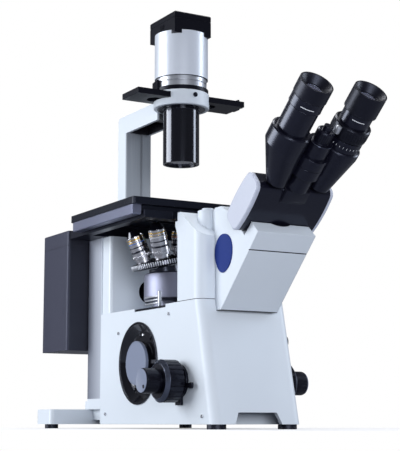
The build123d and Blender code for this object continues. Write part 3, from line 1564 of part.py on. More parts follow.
lamp_base.part.label = "lamp_base"
export_step(lamp_base.part, "parts/lamp_base.step")

with BuildPart() as lamp_lenses:
    with BuildSketch(Plane.XY.offset(lamp_base_top - collector_thickness / 2)):
        with Locations((0, axis_y)):
            Circle(collector_radius)
    extrude(amount=collector_thickness)
    with BuildSketch(Plane.XY.offset(condenser_bottom + condenser_recess)):
        with Locations((0, axis_y)):
            Circle(condenser_lens_radius)
    extrude(amount=condenser_lens_thickness)
lamp_lenses.part.label = "lamp_lenses"
export_step(lamp_lenses.part, "parts/lamp_lenses.step")

with BuildPart() as lamp_housing:
    with BuildSketch(Plane.XY.offset(lamp_base_top)):
        with Locations((0, axis_y)):
            Circle(lamp_radius)
    extrude(amount=lamp_top - lamp_base_top)
    with BuildSketch(Plane.XY.offset(lamp_base_top)):
        with Locations((0, axis_y)):
            Circle(lamp_radius - lamp_wall)
    extrude(amount=lamp_top - lamp_base_top - lamp_wall, mode=Mode.SUBTRACT)
    with BuildSketch(Plane.XY.offset(lamp_top - lamp_wall)):
        with Locations((0, axis_y)):
            with PolarLocations(socket_radius + 2 * vent_pitch, 2 * vent_count):
                Circle(vent_pitch)
    extrude(amount=lamp_wall, mode=Mode.SUBTRACT)
lamp_housing.part.label = "lamp_housing"
export_step(lamp_housing.part, "parts/lamp_housing.step")

cap_y = front_y + cap_setback
with BuildPart() as lamp_cap:
    with BuildSketch(Plane.XY.offset(cap_bottom)):
        with Locations((0, cap_y)):
            Rectangle(cap_width, cap_depth)
    extrude(amount=cap_top - cap_bottom)
    chamfer(lamp_cap.faces().sort_by(Axis.Z)[-1].edges(), cap_bevel)
    with BuildSketch(Plane.XY.offset(cap_lip)):
        with Locations((0, cap_y)):
            Rectangle(cap_width + cut_over, cap_depth + cut_over)
            Rectangle(cap_width - seam_bevel, cap_depth - seam_bevel, mode=Mode.SUBTRACT)
    extrude(amount=seam_bevel, mode=Mode.SUBTRACT)
    with BuildSketch(Plane.XY.offset(cap_bottom)):
        with Locations((0, axis_y)):
            Circle(lamp_radius)
    extrude(amount=lamp_top - cap_bottom, mode=Mode.SUBTRACT)
    with BuildSketch(Plane.XY.offset(lamp_top)):
        with Locations((0, axis_y)):
            Rectangle(cap_width - 2 * cap_wall, 2 * socket_radius)
    extrude(amount=cap_top - lamp_top - cap_wall, mode=Mode.SUBTRACT)
    with BuildSketch(Plane.YZ.offset(-cap_width / 2)):
        with Locations((cap_y, (lamp_top + cap_lip) / 2)):
            with GridLocations(vent_pitch, 0, vent_count, 1):
                Rectangle(vent_width, vent_height)
    extrude(amount=cap_wall, mode=Mode.SUBTRACT)
lamp_cap.part.label = "lamp_cap"
export_step(lamp_cap.part, "parts/lamp_cap.step")

with BuildPart() as lamp_socket:
    with BuildSketch(Plane.XY.offset(lamp_top - lamp_wall)):
        with Locations((0, axis_y)):
            Circle(socket_radius)
    extrude(amount=-socket_height)
lamp_socket.part.label = "lamp_socket"
export_step(lamp_socket.part, "parts/lamp_socket.step")

with BuildPart() as lamp_bulb:
    with BuildSketch(Plane.XY.offset(lamp_top - lamp_wall - socket_height)):
        with Locations((0, axis_y)):
            Circle(bulb_radius)
    extrude(amount=-bulb_length)
    fillet(lamp_bulb.faces().sort_by(Axis.Z)[0].edges(), bulb_radius - seam_bevel)
lamp_bulb.part.label = "lamp_bulb"
export_step(lamp_bulb.part, "parts/lamp_bulb.step")

# Rocker switch between two ears, and the brightness dial, on the right wall
rocker_x = half_body + switch_stand - switch_radius
rocker_y = front_y + switch_setback
with BuildPart() as power_switch:
    with BuildSketch(Plane.XY.offset(switch_height)):
        with Locations((rocker_x, rocker_y)):
            Circle(switch_radius)
        with Locations((rocker_x - switch_radius, rocker_y)):
            Rectangle(2 * (switch_radius - switch_back), 2 * switch_radius, mode=Mode.SUBTRACT)
    extrude(amount=switch_breadth / 2 - seat_gap, both=True)
    with BuildSketch(Plane.XY.offset(switch_height)):
        with Locations((rocker_x, rocker_y)):
            Circle(switch_axle_radius)
    extrude(amount=switch_breadth / 2 + switch_ear, both=True)
power_switch.part.label = "power_switch"
export_step(power_switch.part, "parts/power_switch.step")

with BuildPart() as brightness_dial:
    with BuildSketch(Plane.YZ.offset(half_body + seat_gap)):
        with Locations((front_y + dial_setback, dial_height)):
            Circle(dial_radius)
    extrude(amount=dial_stand)
    chamfer(brightness_dial.faces().sort_by(Axis.X)[-1].edges(), seam_bevel)
    with BuildSketch(Plane.YZ.offset(half_body + seat_gap)):
        with Locations((front_y + dial_setback, dial_height)):
            Circle(dial_shaft_radius)
    extrude(amount=-wall - cut_over)
brightness_dial.part.label = "brightness_dial"
export_step(brightness_dial.part, "parts/brightness_dial.step")
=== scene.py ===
# %% [markdown]
# An inverted microscope, dressed for the camera. The solids come ready made from the
# frame and stay where they are. This file gives every one of them a finish, and adds
# the small things a solid model leaves out: rubber folds, bright rims, screws and marks.

# %% Load the solids
import math

import bpy
from mathutils import Matrix, Vector


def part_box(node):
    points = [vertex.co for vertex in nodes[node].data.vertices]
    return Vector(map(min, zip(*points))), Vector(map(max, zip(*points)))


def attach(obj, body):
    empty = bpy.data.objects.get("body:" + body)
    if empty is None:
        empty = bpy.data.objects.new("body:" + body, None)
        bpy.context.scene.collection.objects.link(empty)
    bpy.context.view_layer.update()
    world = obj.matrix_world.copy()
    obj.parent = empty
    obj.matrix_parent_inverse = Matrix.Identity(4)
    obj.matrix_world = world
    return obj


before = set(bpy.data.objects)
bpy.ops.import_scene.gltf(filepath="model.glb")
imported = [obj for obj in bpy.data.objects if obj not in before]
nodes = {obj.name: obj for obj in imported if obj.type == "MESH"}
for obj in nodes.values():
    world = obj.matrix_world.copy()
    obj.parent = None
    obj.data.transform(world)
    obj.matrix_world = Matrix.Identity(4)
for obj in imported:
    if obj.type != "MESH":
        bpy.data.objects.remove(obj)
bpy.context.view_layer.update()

# %% [markdown]
# Blender counts in metres. The pieces' sizes and places are written in millimetres and
# scaled where they are used; finishes, camera and lamps keep to metres. Depths are told
# from the front edge of the base.

# %% Measures
MM = 0.001
SIDES = ((-1, "left"), (1, "right"))
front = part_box("base_frame")[0].y
base_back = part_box("base_frame")[1].y
print("base runs from", round(front, 4), "to", round(base_back, 4))

# %% [markdown]
# The camera stands a few millimetres above the bench and looks slightly up, as product
# photographers do to make an instrument look tall. A long lens keeps its uprights nearly
# parallel. The place and angles came from matching the edges of the base and the stage.

# %% Camera
LONG_SIDE = 36.0
FOCAL_LENGTH = 101.4
CAMERA_PLACE = (-0.8544, -1.4622, 0.009)
LOOK_UP = 8.795
LOOK_ROUND = -30
camera_data = bpy.data.cameras.new("photo_camera")
camera_data.sensor_width = LONG_SIDE
camera_data.lens = FOCAL_LENGTH
camera = bpy.data.objects.new("photo_camera", camera_data)
bpy.context.scene.collection.objects.link(camera)
camera.location = CAMERA_PLACE
camera.rotation_euler = (math.radians(90 + LOOK_UP), 0, math.radians(LOOK_ROUND))
bpy.context.scene.camera = camera
print("lens:", FOCAL_LENGTH, "mm")

# %% [markdown]
# Shader sums read best as sums. A Signal wraps one socket, so that `1 - mask * 0.3` adds
# the Math nodes it needs.


# %% Shader sums
class Signal:
    """A shader socket that can be used in a Python expression."""

    def __init__(self, tree, socket):
        self.tree = tree
        self.socket = socket

    def _math(self, operation, *terms):
        node = self.tree.nodes.new("ShaderNodeMath")
        node.operation = operation
        for slot, term in zip(node.inputs, terms):
            if isinstance(term, Signal):
                self.tree.links.new(term.socket, slot)
            else:
                slot.default_value = term
        return Signal(self.tree, node.outputs[0])

    def __add__(self, other):
        return self._math("ADD", self, other)

    def __sub__(self, other):
        return self._math("SUBTRACT", self, other)

    def __rsub__(self, other):
        return self._math("SUBTRACT", other, self)

    def __mul__(self, other):
        return self._math("MULTIPLY", self, other)

    def __truediv__(self, other):
        return self._math("DIVIDE", self, other)

    def __gt__(self, other):
        return self._math("GREATER_THAN", self, other)

    def __lt__(self, other):
        return self._math("LESS_THAN", self, other)

    def __abs__(self):
        return self._math("ABSOLUTE", self)

    def clamp(self):
        node = self.tree.nodes.new("ShaderNodeClamp")
        self.tree.links.new(self.socket, node.inputs[0])
        return Signal(self.tree, node.outputs[0])

    __radd__ = __add__
    __rmul__ = __mul__


# %% [markdown]
# A Finish is one node tree, of a material or of the world, with a single way to add a
# node. Its other methods are the few groups of nodes that nearly every finish needs.


# %% Finish
class Finish:
    """One node tree, with one method for every node that isn't a sum."""

    def __init__(self, name, make=bpy.data.materials.new):
        self.owner = make(name)
        self.owner.use_nodes = True
        self.tree = self.owner.node_tree
        self.tree.nodes.clear()

    def node(self, kind, settings=None, values=None, out=0):
        node = self.tree.nodes.new("ShaderNode" + kind)
        for key, value in (settings or {}).items():
            setattr(node, key, value)
        for key, value in (values or {}).items():
            if isinstance(value, Signal):
                self.tree.links.new(value.socket, node.inputs[key])
            else:
                node.inputs[key].default_value = value
        return Signal(self.tree, node.outputs[out]) if node.outputs else node

    def spot(self):
        """Object coordinates."""
        return self.node("TexCoord", out=3)

    def axis(self, letter):
        """One of the object coordinates, in metres."""
        values = {0: self.spot()}
        return self.node("SeparateXYZ", values=values, out="xyz".index(letter))

    def noise(self, size, scale=(1, 1, 1), detail=3.0, roughness=0.5):
        """Noise whose features are about `size` metres across, stretched by `scale`."""
        place = self.node("Mapping", values={"Vector": self.spot(), "Scale": scale})
        values = {"Vector": place, "Scale": 1 / size, "Detail": detail}
        values["Roughness"] = roughness
        return self.node("TexNoise", values=values)

    def blend(self, mask, low, high):
        """A colour between two colours."""
        settings = {"data_type": "RGBA"}
        values = {0: mask, 6: low, 7: high}
        return self.node("Mix", settings, values, out=2)

    def relief(self, height, depth, size, edge):
        """A bump, on a surface whose edges are rounded for the light."""
        rounded = self.node("Bevel", {"samples": 6}, {"Radius": edge})
        values = {"Height": height, "Strength": depth, "Distance": size}
        values["Normal"] = rounded
        return self.node("Bump", values=values)

    def surface(self, **values):
        shader = self.node("BsdfPrincipled", values=values)
        self.node("OutputMaterial", values={"Surface": shader})
        return self.owner


# %% [markdown]
# Most parts of the instrument wear one of a few coats: enamel, crackle paint, anodised
# metal, moulded plastic or rubber. They differ in colour, grain size and gloss, so one
# recipe makes them all. A slight drift of colour and gloss keeps big faces from looking
# flat, a fine grain breaks the highlights, and rounded edges catch the light as real
# castings do. Where two castings meet, the joint is a thin dark line in the coat.

# %% Recipe of a coat
DARK_COAT = 0.05
COOL_GLEAM = (0.72, 0.78, 1.0, 1)
SEAM_AND_PAINTED_SHADE = (0.01, 0.01, 0.016, 1)
GRAIN_SWING = 0.16
DRIFT_SWING = 0.10


def coat(
    name, colour, gloss, grain, depth,
    metallic=0.0, drift=0.06, edge=0.0008, varnish=0.0, seams_and_shade=(), shine=0.5,
):
    """A coat of paint, oxide or plastic. Grain is its pattern's size in metres and depth
    how strongly it is felt. A seam is (axis, millimetres, width), and may end at a depth.
    A band laid in the plane of a face paints that whole face dark: painted shade.
    Dark coats reflect a little bluish."""
    made = Finish(name)
    broad = made.noise(0.11, detail=2.0)
    fine = made.noise(grain, detail=4.0, roughness=0.6)
    shade = [c * (1 - drift) for c in colour]
    light = [min(c * (1 + drift), 1.0) for c in colour]
    tint = made.blend(broad, (*shade, 1), (*light, 1))
    # Each band darkens a joint. The housing's band lies in the plane of its front face and
    # paints that whole face dark, as painted shade.
    for axis, at, width, *end in seams_and_shade:
        line = abs(made.axis(axis) - at * MM) < width * MM / 2
        if end:
            line = line * (made.axis("y") < end[0] * MM)
        tint = made.blend(line, tint, SEAM_AND_PAINTED_SHADE)
    rough = gloss + (fine - 0.5) * GRAIN_SWING + (broad - 0.5) * DRIFT_SWING
    values = {"Base Color": tint, "Roughness": rough.clamp(), "Metallic": metallic}
    values["Normal"] = made.relief(fine, depth, grain, edge)
    values["Specular IOR Level"] = shine
    if max(colour) < DARK_COAT:
        values["Specular Tint"] = COOL_GLEAM
    if varnish:
        values["Coat Weight"] = varnish
        values["Coat Roughness"] = 0.08
    return made.surface(**values)


# %% [markdown]
# The shell is one pale, cool enamel. The front column and the neck wear it too, each with
# the seams where their own castings meet. The lamp is a little glossier and paler.

# %% Pale coats
ENAMEL = (0.63, 0.68, 0.745)


def shell(name, seams_and_shade=()):
    """The shell's enamel, with the seams of one casting."""
    return coat(
        name, ENAMEL, 0.38, 0.0007, 0.05, edge=0.0015, drift=0.03, shine=0.2, seams_and_shade=seams_and_shade
    )


enamel = shell("shell_enamel")
seamed_enamel = shell("seamed_enamel", (("z", 162.0, 0.9),))
neck_enamel = shell("neck_enamel", (("z", 147.2, 0.9), ("z", 214.9, 1.1, -172.8)))
cap_enamel = coat(
    "cap_enamel", (0.47, 0.50, 0.60), 0.40, 0.0007, 0.05, edge=0.0015, drift=0.05
)
lamp_enamel = coat("lamp_enamel", (0.62, 0.66, 0.74), 0.34, 0.0007, 0.03, metallic=0.2)
bezel_silver = coat("bezel_silver", (0.46, 0.48, 0.53), 0.34, 0.0005, 0.03, metallic=0.7)
rail_metal = coat(
    "rail_metal", (0.22, 0.235, 0.33), 0.33, 0.0006, 0.04, metallic=0.9, drift=0.03
)
white_mark = coat("white_mark", (0.72, 0.74, 0.78), 0.45, 0.0005, 0.05)
ceramic = coat("ceramic", (0.55, 0.5, 0.42), 0.6, 0.0006, 0.15)
print("pale coats:", len(bpy.data.materials))

# %% [markdown]
# The blacks differ mostly in gloss: varnish on the lamp's barrel, satin on the tubes,
# softer plastic on the knobs, and rubber where an eye or a bench is touched. The rear
# housing is crackle paint, with a seam under its lid. A dark band in the plane of its
# front face paints that whole face near-black, as painted shade.

# %% Dark coats
LID_SEAM = 266.3
# The housing's front face lies in this plane, so this band paints it near-black: painted
# shade.
FRONT_FACE_SHADE = front / MM + 365.0
housing_paint = coat(
    "housing_paint", (0.026, 0.027, 0.046), 0.44, 0.0009, 0.30,
    shine=0.36, seams_and_shade=(("z", LID_SEAM, 0.8), ("y", FRONT_FACE_SHADE, 0.9)),
)
satin_black = coat("satin_black", (0.004, 0.004, 0.009), 0.25, 0.0006, 0.06)
deep_black = coat("deep_black", (0.004, 0.004, 0.007), 0.34, 0.0006, 0.10, shine=0.15)
stage_black = coat(
    "stage_black", (0.006, 0.007, 0.012), 0.30, 0.0005, 0.06, edge=0.0012, shine=0.25
)
gloss_black = coat("gloss_black", (0.003, 0.003, 0.005), 0.14, 0.0005, 0.02, varnish=0.6)
knob_plastic = coat("knob_plastic", (0.003, 0.003, 0.006), 0.26, 0.0005, 0.06, shine=0.34)
eye_rubber = coat("eye_rubber", (0.004, 0.004, 0.008), 0.40, 0.0004, 0.16, shine=0.36)
slate_paint = coat("slate_paint", (0.17, 0.20, 0.29), 0.40, 0.0006, 0.10)
badge_blue = coat("badge_blue", (0.008, 0.026, 0.17), 0.50, 0.0008, 0.02, shine=0.08)
print("coats:", len(bpy.data.materials))

# %% [markdown]
# Three castings wear two colours. The pillar's front is a bare grey extrusion, darker
# towards the arm above it, which is painted shade. The recess under the arm is painted
# black. The rear column is grey behind the base, and darkest next to the housing, which
# is painted shade. A mask on the piece's own coordinates draws each border, which is
# cheaper than cutting the solid there.

# %% Two-coloured castings
PALE = (*ENAMEL, 1)
RECESS_BLACK = (0.012, 0.012, 0.018, 1)
PILLAR_FACE_DEPTH = 0.0035
ARM_SHADE_STARTS, ARM_SHADE_SPAN = 0.28, 0.16
RECESS_HALF_WIDTH, RECESS_TOP, RECESS_WALL = 0.0158, 0.4589, 0.004
FOOT_TOP = 0.042
COLUMN_LIP, COLUMN_SHADE_SPAN = 0.0006, 0.047

made = Finish("pillar_enamel")
front_face = made.axis("y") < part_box("pillar")[0].y + PILLAR_FACE_DEPTH
# The bare grey is the extrusion's own; its darkening towards the arm is painted shade.
shade_climb = ((made.axis("z") - ARM_SHADE_STARTS) / ARM_SHADE_SPAN).clamp()
grey_and_shade = made.blend(shade_climb, (0.46, 0.50, 0.56, 1), (0.16, 0.18, 0.21, 1))
streaks = made.noise(0.002, scale=(1, 1, 0.02))
grey_and_shade = made.blend(streaks * 0.3, grey_and_shade, (0.5, 0.52, 0.56, 1))
tint = made.blend(front_face, PALE, grey_and_shade)
pillar_enamel = made.surface(**{"Base Color": tint, "Roughness": 0.34 + streaks * 0.1})

made = Finish("arm_enamel")
between = abs(made.axis("x")) < RECESS_HALF_WIDTH
below = made.axis("z") < RECESS_TOP
before = made.axis("y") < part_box("arm")[1].y - RECESS_WALL
soft = made.noise(0.03)
tint = made.blend(between * below * before, PALE, RECESS_BLACK)
arm_enamel = made.surface(**{"Base Color": tint, "Roughness": 0.32 + soft * 0.08})

made = Finish("column_enamel")
behind = made.axis("y") - base_back
strip = (behind > COLUMN_LIP) * (made.axis("z") > FOOT_TOP)
soft = made.noise(0.03)
# The grey is the column's own; its darkening towards the housing is painted shade.
shade_fade = (behind / COLUMN_SHADE_SPAN).clamp()
grey_and_shade = made.blend(shade_fade, (0.40, 0.43, 0.50, 1), (0.10, 0.11, 0.15, 1))
tint = made.blend(strip, PALE, grey_and_shade)
column_enamel = made.surface(**{"Base Color": tint, "Roughness": 0.33 + soft * 0.08})
print("finishes so far:", len(bpy.data.materials))

# %% [markdown]
# Turned and brushed metal shows fine lines along the cut. Stretching the noise hard
# along two axes leaves lines that run round an upright drum.


# %% Metals
def metal(name, colour, gloss, stretch, depth=0.12):
    """A bare metal; stretch is how far its lines are drawn out along each axis."""
    made = Finish(name)
    lines = made.noise(0.0009, scale=stretch, detail=5.0, roughness=0.7)
    stain = made.noise(0.03, detail=3.0)
    shade = [c * 0.8 for c in colour]
    tint = made.blend(lines * 0.5 + stain * 0.5, (*shade, 1), (*colour, 1))
    rough = (gloss + (lines - 0.5) * 0.25 + (stain - 0.5) * 0.1).clamp()
    values = {"Base Color": tint, "Roughness": rough, "Metallic": 1.0}
    values["Normal"] = made.relief(lines, depth, size=0.0003, edge=0.0006)
    return made.surface(**values)


TURNED = (0.06, 0.06, 1)
KNURLED = (0.2, 0.2, 1)
turned_silver = metal("turned_silver", (0.24, 0.25, 0.33), 0.50, TURNED, depth=0.008)
lens_chrome = metal("lens_chrome", (0.60, 0.60, 0.64), 0.24, TURNED, depth=0.02)
knurl_steel = metal("knurl_steel", (0.07, 0.07, 0.09), 0.28, KNURLED, depth=0.05)
satin_edge = metal("satin_edge", (0.16, 0.18, 0.25), 0.30, (1, 1, 0.1), depth=0.04)
bright_steel = metal("bright_steel", (0.55, 0.56, 0.60), 0.22, (1, 0.1, 0.1))
sheet_metal = metal("sheet_metal", (0.60, 0.62, 0.68), 0.26, (0.08, 1, 1))
gold_ring = metal("gold_ring", (0.75, 0.50, 0.16), 0.20, KNURLED)
print("with metals:", len(bpy.data.materials))

# %% [markdown]
# Lenses are coated glass: nearly clear, with a violet bloom. The mirror is silvered
# glass and hides in the base, so a bare metal without lines serves for it.

# %% Glass
made = Finish("lens_glass")
bloom = made.noise(0.02, detail=1.0)
tint = made.blend(bloom, (0.35, 0.28, 0.62, 1), (0.8, 0.9, 1.0, 1))
values = {"Base Color": tint, "Roughness": 0.03, "Coat Weight": 1.0, "IOR": 1.52}
values["Transmission Weight"] = 0.8
lens_glass = made.surface(**values)
mirror_glass = metal("mirror_glass", (0.9, 0.9, 0.92), 0.06, (1, 1, 1), depth=0.0)
print("with glass:", len(bpy.data.materials))

# %% [markdown]
# Every solid gets its coat here, by name. Nothing is left in the grey it came in.

# %% Dress the solids
coats = {
    enamel: "base_frame collar handhold_liner",
    cap_enamel: "head_end_caps",
    column_enamel: "rear_column",
    seamed_enamel: "front_column",
    neck_enamel: "neck",
    arm_enamel: "arm",
    bezel_silver: "lamp_base",
    lamp_enamel: "lamp_housing",
    pillar_enamel: "pillar",
    housing_paint: "rear_housing rear_housing_lid",
    satin_black: "head_block pivot_column left_tube right_tube left_eyepiece right_eyepiece "
    "nosepiece_base focus_guide",
    deep_black: "aperture_ring phase_slider lamp_cap",
    stage_black: "stage_plate stage_frame stage_insert",
    gloss_black: "condenser_barrel objective_tips port_rings",
    knob_plastic: "coarse_knobs fine_knobs tension_ring lock_lever power_inlet power_switch "
    "brightness_dial right_diopter_ring power_supply",
    eye_rubber: "feet left_eyecup right_eyecup",
    slate_paint: "port_caps",
    badge_blue: "side_badges",
    ceramic: "lamp_socket",
    turned_silver: "focus_block",
    lens_chrome: "objective_barrels",
    knurl_steel: "turret",
    sheet_metal: "base_plate focus_arm",
    bright_steel: "coarse_shaft cover_screws",
    gold_ring: "objective_bands",
    rail_metal: "stage_rails",
    lens_glass: "left_eye_lens right_eye_lens tube_lens lamp_lenses lamp_bulb",
    mirror_glass: "mirror",
}
dressed = set()
for finish, names in coats.items():
    for name in names.split():
        nodes[name].data.materials.clear()
        nodes[name].data.materials.append(finish)
        dressed.add(name)
print("undressed solids:", sorted(set(nodes) - dressed))

# %% [markdown]
# New pieces are small and sit on the solids, so each is made about its own axis and then
# moved to its place. The places are matrices: the slanted head and its two tubes, and
# the two side walls.

# %% Places
LIGHT_AXIS = 199.5
HEAD_SLOPE = math.radians(41)
HEAD_DEPTH, HEAD_HEIGHT = -50.6, 272.6
HALF_EYE_SPACING = 38.5
axis_y = front + LIGHT_AXIS * MM


def frame_of(x_to, y_to, z_to, origin):
    """The matrix that takes the three axes and the origin to their new places."""
    columns = (Vector(x_to), Vector(y_to), Vector(z_to), Vector(origin))
    return Matrix([[c[row] for c in columns] for row in range(3)] + [[0, 0, 0, 1]])


up_head = Vector((0, math.sin(HEAD_SLOPE), math.cos(HEAD_SLOPE)))
along_head = Vector((0, -math.cos(HEAD_SLOPE), math.sin(HEAD_SLOPE)))
head_origin = (0, front + HEAD_DEPTH * MM, HEAD_HEIGHT * MM)
head = frame_of((1, 0, 0), up_head, along_head, head_origin)


def tube(side):
    """The axis of one eyepiece tube, at rest."""
    return head @ Matrix.Translation((side * HALF_EYE_SPACING * MM, 0, 0))


def wall(side, depth, height):
    """A place on the middle plane, behind a side wall, its Z pointing outwards."""
    origin = (0, front + depth * MM, height * MM)
    return frame_of((0, side, 0), (0, 0, 1), (side, 0, 0), origin)


print("tubes slope by", round(math.degrees(HEAD_SLOPE)), "degrees")

# %% [markdown]
# The nosepiece carries six objectives on a cone. It leans as much as the cone opens, so
# that the working lens stands upright on the axis of the light.

# %% Seats of the nosepiece
TURRET_TILT = math.radians(13)
TURRET_HEIGHT = 226.0
SEAT_RADIUS, SEAT_LIFT = 29.0, 4.5
lean, rise = math.sin(TURRET_TILT), math.cos(TURRET_TILT)
turret_x = (SEAT_LIFT * lean - SEAT_RADIUS * rise) * MM
turret_origin = (turret_x, axis_y, TURRET_HEIGHT * MM)
turret_place = frame_of((0, 1, 0), (-rise, 0, -lean), (-lean, 0, rise), turret_origin)


def seat(k):
    """The k-th objective's axis, from its seat on the nosepiece."""
    turn = Matrix.Rotation(math.radians(60 * k), 4, "Z")
    out = Matrix.Translation((0, -SEAT_RADIUS * MM, SEAT_LIFT * MM))
    return turret_place @ turn @ out @ Matrix.Rotation(TURRET_TILT, 4, "X")


print("working objective at", [round(v, 4) for v in seat(0).translation])

# %% [markdown]
# An operator works on everything selected, and the solids come in selected. So every
# piece starts by letting go of all of them, and ends by applying its place, smoothing,
# taking a finish and riding on a body of the mechanism.

# %% Start and settle
SMOOTH_ANGLE = math.radians(40)


def clear():
    """Lets go of everything that is selected."""
    bpy.ops.object.select_all(action="DESELECT")


def settle(name, place, finish, body):
    """Names the active piece, puts it in its place for good and lets it ride."""
    piece = bpy.context.object
    piece.name = piece.data.name = name
    piece.matrix_world = place @ piece.matrix_world
    bpy.ops.object.transform_apply(location=True, rotation=True, scale=True)
    bpy.ops.object.shade_smooth_by_angle(angle=SMOOTH_ANGLE)
    piece.data.materials.clear()
    piece.data.materials.append(finish)
    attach(piece, body)


# %% [markdown]
# Sharp edges catch no light, so most pieces have theirs eased by a Bevel modifier, which
# is applied at once.


# %% Ease
def ease(width, segments, sharp_only=False):
    """Rounds the active piece's edges; width in metres."""
    rim = bpy.context.object.modifiers.new("ease", "BEVEL")
    rim.width = width
    rim.segments = segments
    if sharp_only:
        rim.limit_method = "ANGLE"
    bpy.ops.object.modifier_apply(modifier=rim.name)


# %% [markdown]
# Rims, folds and rings are one rounded outline swept round an axis with Spin. Spin
# leaves a double seam, so the doubles are merged and the normals made to point outwards.

# %% Hoop
OUTLINE_SIDES = 10


def hoop(radius, width, height, at=0.0, steps=64):
    """A closed ring about +Z; width is radial, height runs along the axis."""
    clear()
    bpy.ops.mesh.primitive_circle_add(
        vertices=OUTLINE_SIDES,
        radius=0.5 * MM,
        location=(radius * MM, 0, at * MM),
        rotation=(math.pi / 2, 0, 0),
    )
    bpy.context.object.scale = (width, height, 1)
    bpy.ops.object.transform_apply(location=True, rotation=True, scale=True)
    bpy.ops.object.mode_set(mode="EDIT")
    bpy.ops.mesh.select_all(action="SELECT")
    bpy.ops.mesh.spin(steps=steps, angle=2 * math.pi, center=(0, 0, 0), axis=(0, 0, 1))
    bpy.ops.mesh.select_all(action="SELECT")
    bpy.ops.mesh.remove_doubles(threshold=0.00001)
    bpy.ops.mesh.normals_make_consistent(inside=False)
    bpy.ops.object.mode_set(mode="OBJECT")


# %% [markdown]
# Buttons, screw heads and discs are turned pieces: a cylinder whose front face, the one
# that looks along +Z, is inset and pushed in or out.


# %% Button
def button(radius, thick, at=0.0, inset=0.35, push=-0.3, sides=48):
    """A round button about +Z with a sunk or raised middle."""
    clear()
    where = (0, 0, (at + thick / 2) * MM)
    bpy.ops.mesh.primitive_cylinder_add(
        vertices=sides, radius=radius * MM, depth=thick * MM, location=where
    )
    bpy.ops.object.transform_apply(location=True, rotation=True, scale=True)
    bpy.ops.object.mode_set(mode="EDIT")
    bpy.ops.mesh.select_all(action="DESELECT")
    bpy.ops.mesh.select_mode(type="FACE")
    bpy.ops.object.mode_set(mode="OBJECT")
    for face in bpy.context.object.data.polygons:
        face.select = face.normal.z > 0.9
    bpy.ops.object.mode_set(mode="EDIT")
    bpy.ops.mesh.inset(thickness=radius * inset * MM, depth=push * MM)
    bpy.ops.object.mode_set(mode="OBJECT")
    ease(0.2 * MM, 2, sharp_only=True)


# %% [markdown]
# Marks and knurls repeat one small bar round a circle. Spin can copy instead of sweep,
# which keeps the spacing exact. On a full circle the last bar stops one step short of
# the first.


# %% Bars round a circle
def block(size, at):
    """A plain block; size and place in millimetres."""
    clear()
    bpy.ops.mesh.primitive_cube_add(size=1, location=[v * MM for v in at])
    bpy.context.object.scale = [v * MM for v in size]
    bpy.ops.object.transform_apply(location=True, rotation=True, scale=True)


def bars(count, radius, size, at=0.0, span=360.0, start=0.0):
    """Small eased bars round +Z; size is (radial, round, along) in millimetres."""
    block(size, (radius, 0, at))
    ease(min(size) * 0.25 * MM, 1)
    bpy.context.object.rotation_euler.z = math.radians(start)
    bpy.ops.object.transform_apply(location=True, rotation=True, scale=True)
    steps = count - 1
    angle = math.radians(span) * steps / (count if span >= 360 else steps)
    bpy.ops.object.mode_set(mode="EDIT")
    bpy.ops.mesh.select_all(action="SELECT")
    bpy.ops.mesh.spin(
        steps=steps, angle=angle, dupli=True, center=(0, 0, 0), axis=(0, 0, 1)
    )
    bpy.ops.object.mode_set(mode="OBJECT")


# %% [markdown]
# Straight repeats come from an Array modifier.


# %% Straight bars
def ladder(size, at, count=1, step=(0, 0, 0)):
    """Eased bars in a row; size, place and step in millimetres."""
    block(size, at)
    ease(min(size) * 0.2 * MM, 2)
    if count > 1:
        row = bpy.context.object.modifiers.new("row", "ARRAY")
        row.count = count
        row.use_relative_offset = False
        row.use_constant_offset = True
        row.constant_offset_displace = [v * MM for v in step]
        bpy.ops.object.modifier_apply(modifier=row.name)


# %% [markdown]
# The eyecups end in a soft rounded rim, with a fold at their foot. The left eyepiece has
# thin lines where its sleeves meet. The right one turns in a grooved ring with a scale
# for setting the eye's strength, which a bright little screw clamps. Both keep one plain
# white line on their upper side.

# %% Eyecups
CUP_RADIUS, CUP_TOP = 20.2, 178.7
for (side, name), foot in zip(SIDES, (161.0, 151.5)):
    hoop(CUP_RADIUS, 1.6, 1.6, at=CUP_TOP)
    settle(name + "_cup_rim", tube(side), eye_rubber, name + "_ocular")
    hoop(CUP_RADIUS + 0.4, 1.0, 0.7, at=foot + 1.4)
    settle(name + "_cup_fold", tube(side), eye_rubber, name + "_ocular")
print("cup rims at", CUP_TOP, "mm along the tubes")

# %% Eyepieces
left_lines = (
    ("left_band_line", 20.45, 0.5, 147.4, satin_black),
    ("left_cup_line", 20.5, 0.6, 160.4, satin_black),
    ("left_tube_line", 24.0, 0.5, 111.9, satin_edge),
)
for name, radius, height, at, finish in left_lines:
    hoop(radius, 0.5, height, at=at)
    settle(name, tube(-1), finish, "left_ocular")
bars(14, 20.4, (0.3, 1.3, 1.0), at=153.0, span=44, start=-92)
settle("left_plain_mark", tube(-1), white_mark, "left_ocular")
bars(14, 18.7, (0.3, 1.2, 1.0), at=145.0, span=46, start=-92)
settle("right_plain_mark", tube(1), white_mark, "right_ocular")
bars(30, 22.5, (0.3, 0.5, 2.6), at=108.0)
settle("right_scale_marks", tube(1), white_mark, "right_ocular")
bars(40, 23.5, (0.9, 1.6, 10.0), at=124.5)
settle("diopter_grip", tube(1), knob_plastic, "diopter")
for side, name in SIDES:
    hoop(9.7, 0.5, 0.4, at=170.6)
    settle(name + "_lens_ring", tube(side), satin_edge, name + "_ocular")
button(3.6, 9.0, inset=0.2, push=0.4)
lock_place = tube(1) @ Matrix.Translation((-24.0 * MM, -9.5 * MM, 122.0 * MM))
settle("diopter_lock", lock_place, bezel_silver, "diopter")
print("eyepieces dressed")

# %% [markdown]
# Between the tubes the pivot ends in a fluted black knob, with a bright line at its foot.

